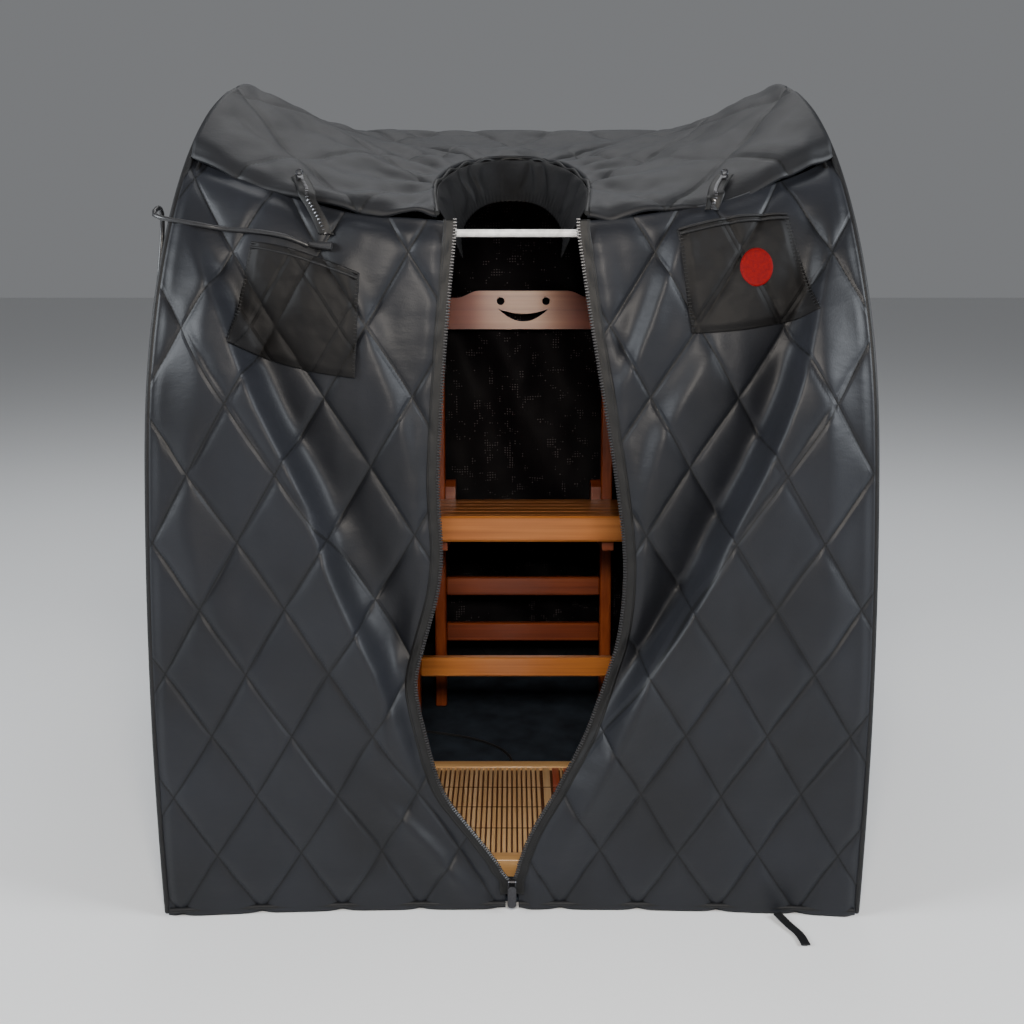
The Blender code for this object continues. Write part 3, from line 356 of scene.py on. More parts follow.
def clothGrid(name, place, columns, rows, finish, thick, quilt=None):
    # place gives a point for (u, v); quilt gives the diamond count there
    bm = bmesh.new()
    bmesh.ops.create_grid(bm, x_segments=columns, y_segments=rows, size=0.5)
    layer = bm.loops.layers.uv.new("quilt")
    counts = {}
    for vert in bm.verts:
        u, v = vert.co.x + 0.5, vert.co.y + 0.5
        vert.co = place(u, v)
        counts[vert] = quilt(u, v, vert.co) if quilt else (u, v)
    for face in bm.faces:
        for loop in face.loops:
            loop[layer].uv = counts[loop.vert]
    return objectFrom(bm, name, finish, thick=thick)


def tubeAlong(name, line, radius, finish, closed=False, resolution=3):
    curve = bpy.data.curves.new(name, "CURVE")
    curve.dimensions = "3D"
    curve.bevel_depth = radius
    curve.bevel_resolution = resolution
    curve.use_fill_caps = True
    spline = curve.splines.new("POLY")
    spline.points.add(len(line) - 1)
    for point, place in zip(spline.points, line):
        point.co = (*place, 1)
    spline.use_cyclic_u = closed
    made = bpy.data.objects.new(name, curve)
    curve.materials.append(finish)
    scene.collection.objects.link(made)
    return made


def blockPiece(name, size, centre, finish, bevel):
    bm = bmesh.new()
    bmesh.ops.create_cube(bm, size=1.0, matrix=Matrix.Diagonal((*size, 1)))
    bmesh.ops.bevel(bm, geom=bm.edges[:], offset=bevel, offset_type="OFFSET", segments=3, profile=0.5,
                    affect="EDGES", material=-1, clamp_overlap=True)
    bmesh.ops.translate(bm, vec=centre, verts=bm.verts)
    return objectFrom(bm, name, finish)


def addBlock(bm, centre, turn, size):
    # a small block in a mesh that holds many
    place = Matrix.Translation(centre) @ turn @ Matrix.Diagonal((*size, 1))
    return bmesh.ops.create_cube(bm, size=1.0, matrix=place)["verts"]


def edgesOf(verts):
    return list({edge for vert in verts for edge in vert.link_edges})


def fixed(made, slot, *replaced, body="tent"):
    # a finished piece rides one body, and may stand for nodes of the frame
    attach(made, body)
    if replaced:
        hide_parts(*replaced)
    return made


# the outside shape of the tent
tentShape = {"width": 0.81, "topWidth": 0.672, "depth": 0.72, "height": 0.943, "shoulder": 0.55,
             "archPower": 2.15, "leanPower": 2.2, "frontIn": 0.015, "barHeight": 0.785, "barY": -0.312,
             "frontFold": 0.85, "rearBar": 0.17, "saddle": 2.5, "hoopRadius": 0.0045, "skinInset": 0.006}


def halfWidth(z):
    lean = (tentShape["width"] - tentShape["topWidth"]) / 2
    return tentShape["width"] / 2 - lean * (max(z, 0) / tentShape["height"]) ** tentShape["leanPower"]


def archPoint(angle, inset=0.0):
    power, base = 2 / tentShape["archPower"], tentShape["shoulder"]
    c, s = math.cos(angle), math.sin(angle)
    y = -math.copysign(abs(c) ** power, c) * (tentShape["depth"] / 2 - inset)
    return y, base + (tentShape["height"] - inset - base) * abs(s) ** power


def archDepth(z, inset=0.0):
    rise = (z - tentShape["shoulder"]) / (tentShape["height"] - inset - tentShape["shoulder"])
    deep, power = tentShape["depth"] / 2 - inset, tentShape["archPower"]
    return deep if rise <= 0 else deep * max(1 - rise**power, 0) ** (1 / power)


def hoopOutline():
    deep, low = tentShape["depth"] / 2, tentShape["shoulder"]
    line = [Vector((0, -deep, low * i / 12)) for i in range(12)]
    line += [Vector((0, *archPoint(math.pi * i / 48))) for i in range(49)]
    return spaced(line + [Vector((0, deep, low * (1 - i / 12))) for i in range(1, 13)], 400)


hoopPath = hoopOutline()
rearShare = tentShape["rearBar"] / (tentShape["depth"] / 2)
rearArc = math.pi - math.acos(rearShare ** (tentShape["archPower"] / 2))
rearTop = archPoint(rearArc)[1]


def nearestOn(point):
    return min(range(len(hoopPath)), key=lambda i: (hoopPath[i] - point).length)


foldMarks = (0, nearestOn(Vector((0, -archDepth(tentShape["frontFold"]), tentShape["frontFold"]))),
             nearestOn(Vector((0, tentShape["rearBar"], rearTop))), len(hoopPath) - 1)
middleLine = (Vector((0, tentShape["frontIn"] - tentShape["depth"] / 2, 0)),
              Vector((0, tentShape["barY"], tentShape["barHeight"])),
              Vector((0, tentShape["rearBar"], rearTop)))


def hoopAt(s):
    # s is 0 at the front floor edge, 1 and 2 at the folds, 3 at the back floor edge
    part = min(int(max(s, 0)), 2)
    mark = foldMarks[part] + (foldMarks[part + 1] - foldMarks[part]) * (s - part)
    low = min(max(int(mark), 0), len(hoopPath) - 2)
    return hoopPath[low].lerp(hoopPath[low + 1], mark - low)


def skinHalf(s):
    # half the width of the skin, which stops beside the hoop
    return halfWidth(hoopAt(s).z) - tentShape["skinInset"]


def middleAt(s):
    if s >= 2:
        return hoopAt(s)
    part = int(max(s, 0))
    return middleLine[part].lerp(middleLine[part + 1], s - part)


def tentSkin(u, s):
    middle, edge = middleAt(s), hoopAt(s)
    place = middle.lerp(edge, min(abs(u), 1) ** tentShape["saddle"])
    return Vector((u * (halfWidth(edge.z) - tentShape["skinInset"]), place.y, place.z))


foldSettings = {"reach": 0.026, "waver": 0.0045, "waves": 14, "back": 0.0055, "drop": 0.0050}


def foldEase(x, s):
    # the fold between front and roof is soft and uneven
    near = math.exp(-((s - 1) / foldSettings["reach"]) ** 2)
    wave = foldSettings["waver"] * noise.noise(Vector((x * foldSettings["waves"], 3.3, 1.2)))
    return Vector((0, foldSettings["back"], wave - foldSettings["drop"])) * near


def skinOut(u, s):
    across = tentSkin(min(u + 0.004, 1), s) - tentSkin(max(u - 0.004, -1), s)
    along = tentSkin(u, s + 0.004) - tentSkin(u, max(s - 0.004, 0))
    return across.cross(along).normalized()


def frontPlace(x, z):
    # (u, s) of the front skin at a place seen from the front
    low, high = 0.0, 1.6
    for _ in range(26):
        s = (low + high) / 2
        u = x / skinHalf(s)
        if tentSkin(u, s).z < z:
            low = s
        else:
            high = s
    return u, s


# the zip's edges, read from the rows of teeth
def zipCentres(side):
    points = sorted((v.co.copy() for v in nodes[f"{side}_zip_teeth"].data.vertices), key=lambda p: p.z)
    low, high, count = points[0].z, points[-1].z, 40
    bins = [[] for _ in range(count)]
    for p in points:
        bins[min(int((p.z - low) / (high - low) * count), count - 1)].append(p)
    return [sum(group, Vector()) / len(group) for group in bins if group]


zipPaths = {side: zipCentres(side) for side in sides}


def zipReach(side, z):
    # how far from the middle the teeth stand at a height
    path = zipPaths[side]
    if z <= path[0].z:
        return abs(path[0].x) + (0.0022 - abs(path[0].x)) * easeStep(path[0].z, 0.030, z)
    for a, b in zip(path, path[1:]):
        if z <= b.z:
            return abs(a.x + (b.x - a.x) * (z - a.z) / max(b.z - a.z, 1e-6))
    return abs(path[-1].x)


# quilting and folds of the front
quiltSettings = {"wide": 0.092, "tall": 0.150, "pitch": 0.078, "puff": 0.0046, "groove": 0.0050,
                 "shift": {"left": 0.02, "right": 0.05}}
frontFolds = {
    # three places (x, z) down the ridge, outer width, inner width, height, hollow beside it
    "left": (
        ((0.322, 0.720), (0.215, 0.500), (0.122, 0.200), 0.110, 0.017, 0.030, 0.80),
        ((0.185, 0.460), (0.140, 0.330), (0.118, 0.180), 0.030, 0.018, 0.011, 0.4),
        ((0.385, 0.560), (0.290, 0.300), (0.170, 0.040), 0.060, 0.035, 0.007, 0.2),
        ((0.175, 0.720), (0.125, 0.600), (0.105, 0.440), 0.030, 0.018, 0.008, 0.4),
        ((0.150, 0.150), (0.100, 0.090), (0.050, 0.020), 0.022, 0.014, 0.008, 0.5),
    ),
    "right": (
        ((0.324, 0.705), (0.228, 0.484), (0.050, 0.150), 0.120, 0.015, 0.034, 0.85),
        ((0.205, 0.640), (0.150, 0.520), (0.120, 0.380), 0.026, 0.018, 0.009, 0.4),
        ((0.180, 0.770), (0.150, 0.690), (0.110, 0.600), 0.022, 0.014, 0.010, 0.6),
        ((0.360, 0.420), (0.280, 0.240), (0.160, 0.030), 0.060, 0.040, 0.006, 0.2),
        ((0.150, 0.300), (0.110, 0.190), (0.060, 0.080), 0.024, 0.016, 0.006, 0.4),
    ),
}


def foldRise(fold, x, z):
    # a bowed ridge: it falls slowly outwards, and quickly inwards into a hollow
    a, b, c, outer, inner, high, hollow = fold
    t = min(max((a[1] - z) / (a[1] - c[1]), -0.3), 1.3)
    ridge = a[0] * (1 - t) ** 2 + 2 * t * (1 - t) * (2 * b[0] - (a[0] + c[0]) / 2) + c[0] * t**2
    ridge += 0.010 * noise.noise(Vector((ridge * 9, z * 7, 3.1)))
    away = x - ridge
    ends = easeStep(-0.25, 0.25, t) * easeStep(1.28, 0.75, t)
    if away > 0:
        return high * math.exp(-(away / outer) ** 1.4) * ends
    drop = math.exp(-(away / inner) ** 2) * (1 + hollow) - hollow * math.exp(-(away / (inner * 3.2)) ** 2)
    return high * drop * ends


def lineAway(x, z, start, end):
    # distance in the front view from a short line
    way = (end[0] - start[0], end[1] - start[1])
    t = ((x - start[0]) * way[0] + (z - start[1]) * way[1]) / (way[0] ** 2 + way[1] ** 2)
    t = min(max(t, 0), 1)
    return math.hypot(x - start[0] - way[0] * t, z - start[1] - way[1] * t)


armZips = {"left": ((0.229, 0.824), (0.193, 0.768)), "right": ((0.229, 0.824), (0.207, 0.792))}


def diamondCount(x, z, shift):
    wave = 0.06 * noise.noise(Vector((x * 5, z * 5, shift * 40)))
    a, b = x / quiltSettings["wide"] + shift * 8, z / quiltSettings["tall"]
    return a + b + wave, a - b + wave


def quiltRise(counts, edge=1.0):
    # puffed diamonds between stitched grooves
    rise = 1.0
    for count in counts:
        away = abs(count - round(count)) * quiltSettings["pitch"]
        rise *= 1 - math.exp(-away / quiltSettings["groove"])
    return quiltSettings["puff"] * rise * edge


def frontRise(side, x, z):
    # how far the cloth stands out of the plain skin; x counts from the middle
    edge = x - zipReach(side, z)
    hem = halfWidth(z) - tentShape["skinInset"] - x
    free = easeStep(0.0, 0.045, edge) * easeStep(0.0, 0.05, hem) * easeStep(0.0, 0.05, z)
    rise = sum(foldRise(fold, x, z) for fold in frontFolds[side])
    soft = noise.fractal(Vector((x * 6, z * 3.2, 11 if side == "left" else 47)), 0.9, 2.1, 4)
    rise += 0.0050 * soft
    crush = noise.noise(Vector((x * 26 + z * 16, z * 15 - x * 9, 5.5)))
    rise += 0.0012 * crush
    gather = math.sin(z * 210 + 5 * noise.noise(Vector((z * 9, 2, 8)))) * math.exp(-max(edge, 0) / 0.022)
    free *= easeStep(0.006, 0.045, lineAway(x, z, *armZips[side]))
    uneven = 0.4 + noise.noise(Vector((z * 14, 1, 4)))
    rise = rise * free + 0.0016 * gather * easeStep(0.0, 0.012, edge) * uneven
    counts = diamondCount(sides[side] * x, z, quiltSettings["shift"][side])
    return rise + quiltRise(counts, easeStep(0.004, 0.022, edge) * easeStep(0.0, 0.012, hem))


def frontCloth(side, x, z, raised=0.0):
    # the finished front cloth at a place seen from the front
    u, s = frontPlace(sides[side] * x, z)
    return tentSkin(u, s) + skinOut(u, s) * (frontRise(side, x, z) + raised)


flapSettings = {"columns": 124, "rows": 270, "thick": 0.0040, "edge": 0.0055}


def makeFlap(side):
    sign = sides[side]

    def place(u, v):
        s = v * 1.002
        z = middleAt(min(s, 1.0)).z
        reach = skinHalf(s)
        inner = (zipReach(side, z) + flapSettings["edge"]) / reach
        across = inner + (1 - inner) * (u if sign > 0 else 1 - u)
        base = tentSkin(sign * across, s)
        rise = frontRise(side, abs(base.x), base.z)
        top = easeStep(1.0, 0.975, s)
        return base + skinOut(sign * across, min(s, 0.995)) * rise * (0.25 + 0.75 * top) + foldEase(base.x, s)

    def quilt(u, v, co):
        return diamondCount(co.x, co.z, quiltSettings["shift"][side])

    made = clothGrid(f"{side}_front_cloth", place, flapSettings["columns"], flapSettings["rows"], nylonFinish,
                     flapSettings["thick"], quilt)
    fixed(made, "quilted_nylon", f"{side}_flap")


for side in sides:
    makeFlap(side)
print("front made")


# roof, with its neck opening
roofSettings = {"columns": 260, "rows": 70, "thick": 0.0040, "halfWidth": 0.092, "frontHalf": 0.078,
                "rear": 0.60}


def neckPlace(t, grow=0.0):
    angle = math.pi * (1 - t)
    x = (roofSettings["halfWidth"] + grow) * math.copysign(abs(math.cos(angle)) ** 0.8, math.cos(angle))
    along = (roofSettings["rear"] + grow * 2) * math.sin(angle) ** 0.8
    narrow = 1 - (1 - roofSettings["frontHalf"] / roofSettings["halfWidth"]) * max(1 - along * 4, 0)
    return x * narrow, 1 + along


def roofOuter(t):
    corner = 0.30
    if t < corner:
        return -1.0, 0.996 + 1.006 * t / corner
    if t > 1 - corner:
        return 1.0, 0.996 + 1.006 * (1 - t) / corner
    return -1 + 2 * (t - corner) / (1 - 2 * corner), 2.002


def roofCount(co):
    return co.x / 0.16 + 0.5 + co.y / 0.20, co.x / 0.16 + 0.5 - co.y / 0.20


def roofRise(co, near, outer):
    rise = 0.010 * noise.fractal(Vector((co.x * 6, co.y * 6, 71)), 0.9, 2.1, 4)
    turn = math.atan2(co.y + 0.16, co.x)
    rise += 0.0045 * math.sin(turn * 17 + 5 * noise.noise(co * 4)) * math.exp(-near / 0.12)
    rise -= 0.007 * easeStep(0.04, 0.25, near) * easeStep(0.0, 0.12, outer)
    return rise * easeStep(0.0, 0.03, near) * easeStep(0.0, 0.03, outer) + quiltRise(roofCount(co), 0.7)


def makeRoof():
    def flatPlace(u, v):
        x, s = neckPlace(u)
        s = max(s, 0.996)
        farU, farS = roofOuter(u)
        nearU = x / skinHalf(s)
        return nearU + (farU - nearU) * v, s + (farS - s) * v

    def place(u, v):
        across, s = flatPlace(u, v)
        base = tentSkin(across, s)
        rise = roofRise(base, v * 0.28, (1 - v) * 0.28)
        return base + skinOut(across, min(max(s, 1.006), 1.994)) * rise + foldEase(base.x, s)

    made = clothGrid("roof_cloth", place, roofSettings["columns"], roofSettings["rows"], roofFinish,
                     -roofSettings["thick"], lambda u, v, co: roofCount(co))
    made.data.flip_normals()
    made.modifiers[0].thickness = roofSettings["thick"]
    fixed(made, "quilted_nylon", "top_panel")


makeRoof()


# the gathered collar of the neck opening, and its rim
collarSettings = {"columns": 300, "rows": 40, "folds": 19, "wave": 0.0095, "gathers": 90}


def makeCollar():
    def place(u, v):
        x, s = neckPlace(0.012 + 0.976 * u, -0.003)
        top = tentSkin(x / skinHalf(s), max(s, 1.0))
        centreY = -0.15
        out = Vector((top.x, top.y - centreY, 0)).normalized()
        soft = math.sin(u * collarSettings["folds"] * math.pi + 4 * noise.noise(Vector((u * 7, v * 1.5, 6))))
        fine = math.sin(u * collarSettings["gathers"] * math.pi)
        inward = 1 - 0.30 * v
        lowY = centreY + (top.y - centreY) * (1 - 0.26 * v)
        low = Vector((top.x * inward, lowY, top.z + 0.001 - 0.050 * v ** 1.15))
        crown = 0.0012 * math.sin(min(v * 2.4, 1) * math.pi)
        rise = soft * collarSettings["wave"] * math.sin(math.pi * min(v * 1.15, 1))
        rise += fine * 0.0009 * easeStep(0.6, 0.85, v)
        ease = foldEase(low.x, max(s, 1)) * (1 - v)
        return low + out * rise * 0.5 + Vector((0, 0, crown + rise * 0.45)) + ease

    made = clothGrid("collar_cloth", place, collarSettings["columns"], collarSettings["rows"], shadedCollarFinish,
                     0.0015)
    fixed(made, "binding", "neck_collar")
    line = []
    for i in range(61):
        x, s = neckPlace(i / 60, -0.001)
        s = max(s, 1.0)
        lift = Vector((0, 0, 0.0026 + 0.002 * math.sin(i * 1.1)))
        line.append(tentSkin(x / skinHalf(s), s) + lift)
    rim = tubeAlong("neck_binding", line, 0.0026, rimFinish)
    fixed(rim, "binding")


makeCollar()
print("roof made")


# back and sides
wallSettings = {"columns": 90, "rows": 130, "thick": 0.004}


def makeBack():
    def place(u, v):
        across, s = 2 * u - 1, 2.0 + v
        base = tentSkin(across, min(s, 2.9995))
        inner = easeStep(0, 0.06, min(u, 1 - u)) * easeStep(0, 0.05, min(v, 1 - v))
        rise = 0.006 * noise.fractal(Vector((base.x * 4, base.z * 4, 91)), 0.9, 2.1, 4) * inner
        rise += quiltRise(diamondCount(base.x, base.z, 0.03))
        return base + skinOut(across, min(max(s, 2.01), 2.99)) * rise

    made = clothGrid("back_cloth", place, wallSettings["columns"] * 2, wallSettings["rows"] * 2, nylonFinish,
                     wallSettings["thick"], lambda u, v, co: diamondCount(co.x, co.z, 0.03))
    fixed(made, "quilted_nylon", "back_panel")


def makeSide(side):
    sign = sides[side]
    inset = 0.0085

    def place(u, v):
        if v < 0.5:
            z = 0.004 + (tentShape["shoulder"] - 0.004) * v * 2
        else:
            z = archPoint(math.pi / 2 * (v - 0.5) * 2 * 0.995, inset)[1]
        y = (2 * u - 1) * archDepth(z, inset) * sign
        free = easeStep(0, 0.08, min(u, 1 - u)) * easeStep(0, 0.04, min(v, 1 - v))
        rise = (0.005 * noise.fractal(Vector((y * 5, z * 4, 23 * sign)), 0.9, 2.1, 4) - 0.004) * free
        puffed = quiltRise(diamondCount(y, z, 0.01), 0.8 * free)
        return Vector((sign * (halfWidth(z) - 0.003 + rise + puffed), y, z))

    made = clothGrid(f"{side}_side_cloth", place, 150, 230, nylonFinish, wallSettings["thick"],
                     lambda u, v, co: diamondCount(co.y, co.z, 0.01))
    fixed(made, "quilted_nylon", f"{side}_side_panel")


makeBack()
for side in sides:
    makeSide(side)
print("back and sides made")


# hoops in their piping, with a seam cord behind each
def makeHoop(side):
    sign = sides[side]
    r = tentShape["hoopRadius"]
    line = []
    for p in spaced(hoopPath, 150):
        inward = Vector((0, -p.y, 0.45 - p.z)).normalized() * (r - 0.0005)
        place = p + inward
        place.z = max(place.z, r)
        line.append(Vector((sign * (halfWidth(place.z) - 0.0042), place.y, place.z)))
    line += [line[-1].lerp(line[0], i / 12) for i in range(1, 12)]
    pipe = tubeAlong(f"{side}_piping", line, r * 0.86, bindingFinish, closed=True)
    fixed(pipe, "binding", f"{side}_hoop")
    second = [Vector((p.x - sign * 0.0115, p.y - math.copysign(0.002, p.y), p.z))
              for p in line[:150]]
    seam = tubeAlong(f"{side}_seam_cord", second, 0.0022, bindingFinish)
    fixed(seam, "binding")


for side in sides:
    makeHoop(side)


# front zip: tape, teeth and stitching; the slider and pull stay as imported pieces
zipSettings = {"tape": 0.0125, "pitch": 0.0031, "tooth": (0.0042, 0.0026, 0.0019)}


def zipPoint(side, z, inward=0.0, raised=0.0):
    u, s = frontPlace(sides[side] * (zipReach(side, z) + inward), z)
    return tentSkin(u, s) + skinOut(u, s) * raised


def makeZipSide(side):
    sign = sides[side]
    top = tentShape["barHeight"] - 0.002

    def place(u, v):
        z = 0.018 + (top - 0.018) * v
        step = u if sign > 0 else 1 - u
        inward = -0.0005 + zipSettings["tape"] * step
        x = zipReach(side, z) + inward
        stand = max(frontRise(side, x, z), -0.002)
        raised = 0.0006 + (stand + 0.0004) * easeStep(0.3, 0.6, step) - 0.0006 * easeStep(0.8, 1.0, step)
        return zipPoint(side, z, inward, raised + 0.0004 * math.sin(math.pi * step))

    tape = clothGrid(f"{side}_zip_tape", place, 12, 260, tapeFinish, 0.0012)
    fixed(tape, "zip_teeth")
    line = [zipPoint(side, 0.022 + (top - 0.022) * i / 200, -0.0002, 0.0008) for i in range(201)]
    count = round(lineLength(line) / zipSettings["pitch"])
    line = spaced(line, count)
    bm = bmesh.new()
    for k in range(count):
        way = (line[min(k + 1, count - 1)] - line[max(k - 1, 0)]).normalized()
        out = Vector((0, -1, 0))
        out = (out - way * out.dot(way)).normalized()
        turn = Matrix((out.cross(way), out, way)).transposed().to_4x4()
        tooth = addBlock(bm, line[k], turn, zipSettings["tooth"])
        bmesh.ops.bevel(bm, geom=edgesOf(tooth), offset=0.0005, segments=1, profile=0.5, affect="EDGES",
                        material=-1)
    teeth = objectFrom(bm, f"{side}_teeth", toothFinish, smooth=False)
    fixed(teeth, "zip_teeth", f"{side}_zip_teeth")
    stitch = [zipPoint(side, z, zipSettings["tape"] - 0.003,
                       frontRise(side, zipReach(side, z) + zipSettings["tape"] - 0.003, z) + 0.0012)
              for z in (0.03 + (top - 0.03) * i / 160 for i in range(161))]
    seam = tubeAlong(f"{side}_zip_stitching", stitch, 0.00055, bindingFinish, resolution=1)
    fixed(seam, "binding")


for side in sides:
    makeZipSide(side)
print("front zip made")


# patch pockets
pocketSettings = {
    "left": ((0.294, 0.657), (0.165, 0.621), (0.158, 0.728), (0.270, 0.757)),
    "right": ((0.189, 0.667), (0.3167, 0.690), (0.2867, 0.786), (0.1695, 0.772)),
    "proud": 0.0042, "bag": 0.0050, "welt": 0.0016,
}


def pocketPlace(side, u, v, raised=0.0):
    lowA, lowB, highB, highA = [Vector(c) for c in pocketSettings[side]]
    flat = lowA.lerp(lowB, u).lerp(highA.lerp(highB, u), v)
    droop = 0.006 * math.sin(math.pi * u) * (1 - v) - 0.004 * math.sin(math.pi * u) * v
    return frontCloth(side, flat.x, flat.y - droop, raised)


def makePocket(side):
    sign = sides[side]

    def place(u, v):
        step = u if sign > 0 else 1 - u
        inside = easeStep(0, 0.10, min(step, 1 - step)) * easeStep(0, 0.08, v)
        bag = pocketSettings["bag"] * math.sin(math.pi * step) * (0.3 + 0.7 * v) * inside
        wave = 0.0016 * noise.fractal(Vector((step * 3, v * 3, sign * 12)), 0.9, 2.1, 3) * inside
        return pocketPlace(side, step, v, pocketSettings["proud"] * (0.35 + 0.65 * inside) + bag + wave)

    made = clothGrid(f"{side}_pocket_cloth", place, 70, 60, pocketFinish, 0.0020,
                     lambda u, v, co: diamondCount(co.x, co.z, 0.31))
    fixed(made, "quilted_nylon", f"{side}_pocket")
    for label, v, raised in (("upper", 0.990, 0.0045), ("lower", 0.945, 0.0060)):
        line = []
        for t in (i / 30 for i in range(31)):
            bulge = pocketSettings["bag"] * math.sin(math.pi * t)
            line.append(pocketPlace(side, 0.01 + 0.98 * t, v, bulge + raised))
        welt = tubeAlong(f"{side}_pocket_{label}_welt", line, pocketSettings["welt"], bindingFinish)
        fixed(welt, "binding")
    bm = bmesh.new()
    for edge in (0.012, 0.988):
        for k in range(26):
            v = 0.05 + 0.88 * k / 25
            a, b = (pocketPlace(side, edge + shift, v, 0.0040) for shift in (-0.014, 0.014))
            way = (b - a).normalized()
            turn = way.to_track_quat("X", "Z").to_matrix().to_4x4()
            addBlock(bm, (a + b) / 2, turn, ((b - a).length, 0.0007, 0.0007))
    stitches = objectFrom(bm, f"{side}_pocket_stitches", bindingFinish, smooth=False)
    fixed(stitches, "binding")


for side in sides:
    makePocket(side)


# plain oval label on the right pocket
labelSettings = {"centre": (0.2535, 0.733), "wide": 0.034, "tall": 0.040, "thick": 0.0012}


def makeLabel():
    x, z = labelSettings["centre"]
    spot = frontCloth("right", x, z, pocketSettings["proud"] + pocketSettings["bag"] * 0.95 + 0.0016)
    u, s = frontPlace(x, z)
    turn = skinOut(u, s).to_track_quat("Z", "Y").to_matrix().to_4x4()
    bm = bmesh.new()
    bmesh.ops.create_cone(bm, cap_ends=True, segments=56, radius1=0.5, radius2=0.47, depth=1.0)
    top = [f for f in bm.faces if f.normal.z > 0.9]
    bmesh.ops.inset_region(bm, faces=top, thickness=0.06, depth=0.25)
    size = [labelSettings[key] for key in ("wide", "tall", "thick")]
    bmesh.ops.scale(bm, vec=size, verts=bm.verts)
    bmesh.ops.transform(bm, matrix=Matrix.Translation(spot) @ turn, verts=bm.verts)
    made = objectFrom(bm, "pocket_label", labelRed, smooth=False)
    fixed(made, "red_label", "pocket_badge")


makeLabel()
print("pockets made")


# arm zips
def makeArmZip(side):
    sign = sides[side]
    (x0, z0), (x1, z1) = armZips[side]

    def along(t, shift=0.0, raised=0.0):
        bow = 0.004 * math.sin(math.pi * t)
        return frontCloth(side, x0 + (x1 - x0) * t - bow + shift, z0 + (z1 - z0) * t, raised)

    def place(u, v):
        step = u if sign > 0 else 1 - u
        return along(v * 1.04 - 0.02, (step - 0.5) * 0.016, 0.0014 + 0.0007 * math.sin(math.pi * step))

    tape = clothGrid(f"{side}_arm_zip_tape", lambda u, v: place(u, 1 - v), 10, 30, tapeFinish, 0.0009)
    fixed(tape, "zip_teeth")
    line = spaced([along(i / 40, 0, 0.0030) for i in range(41)], 26)
    bm = bmesh.new()
    for k, p in enumerate(line):
        way = (line[min(k + 1, len(line) - 1)] - line[max(k - 1, 0)]).normalized()
        turn = way.to_track_quat("Z", "Y").to_matrix().to_4x4()
        addBlock(bm, p, turn, (0.0030, 0.0022, 0.0012))
    teeth = objectFrom(bm, f"{side}_arm_teeth", brightTooth, smooth=False)
    fixed(teeth, "zip_teeth", f"{side}_arm_zip")
    low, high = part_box(f"{side}_arm_slider")
    centre = (low + high) / 2
    bm = bmesh.new()
    ring = [bm.verts.new((0.0034 + 0.0009 * math.cos(a), 0, 0.0009 * math.sin(a)))
            for a in (math.pi * k / 4 for k in range(8))]
    edges = [bm.edges.new((ring[k], ring[(k + 1) % 8])) for k in range(8)]
    bmesh.ops.spin(bm, geom=ring + edges, cent=(0, 0, 0), axis=(0, 0, 1), angle=2 * math.pi, steps=24,
                   use_merge=True)
    out = Vector((0, -0.85, 0.5)).normalized()
    turn = out.to_track_quat("Z", "Y").to_matrix().to_4x4()
    bmesh.ops.transform(bm, matrix=Matrix.Translation(centre + out * 0.0030 + Vector((0, 0, 0.0035))) @ turn,
                        verts=bm.verts)
    bmesh.ops.recalc_face_normals(bm, faces=bm.faces)
    pull = objectFrom(bm, f"{side}_arm_zip_ring", gunMetal)
    fixed(pull, "dark_metal", body=f"{side}_arm_slider")


for side in sides:
    makeArmZip(side)
print("arm zips made")


# hem along the floor
def makeHem():
    for side, sign in sides.items():
        proud = Vector((0, -0.0016, 0.0016))
        line = [tentSkin(sign * (0.02 + 0.975 * i / 40), 0.006) + proud for i in range(41)]
        hem = tubeAlong(f"{side}_hem", line, 0.0030, bindingFinish)
        fixed(hem, "binding")


makeHem()


# foot board: frame, thin slats on threads
footSettings = {"slat": 0.0046, "pitch": 0.0067, "thick": 0.0030,
                "wide": ((0.0485, 0.0100, "pale"), (0.0618, 0.0095, "red"), (0.0698, 0.0030, "pale"),
                         (0.0778, 0.0095, "red"), (0.0868, 0.0046, "pale")), "threads": (0.26, 0.50, 0.74)}


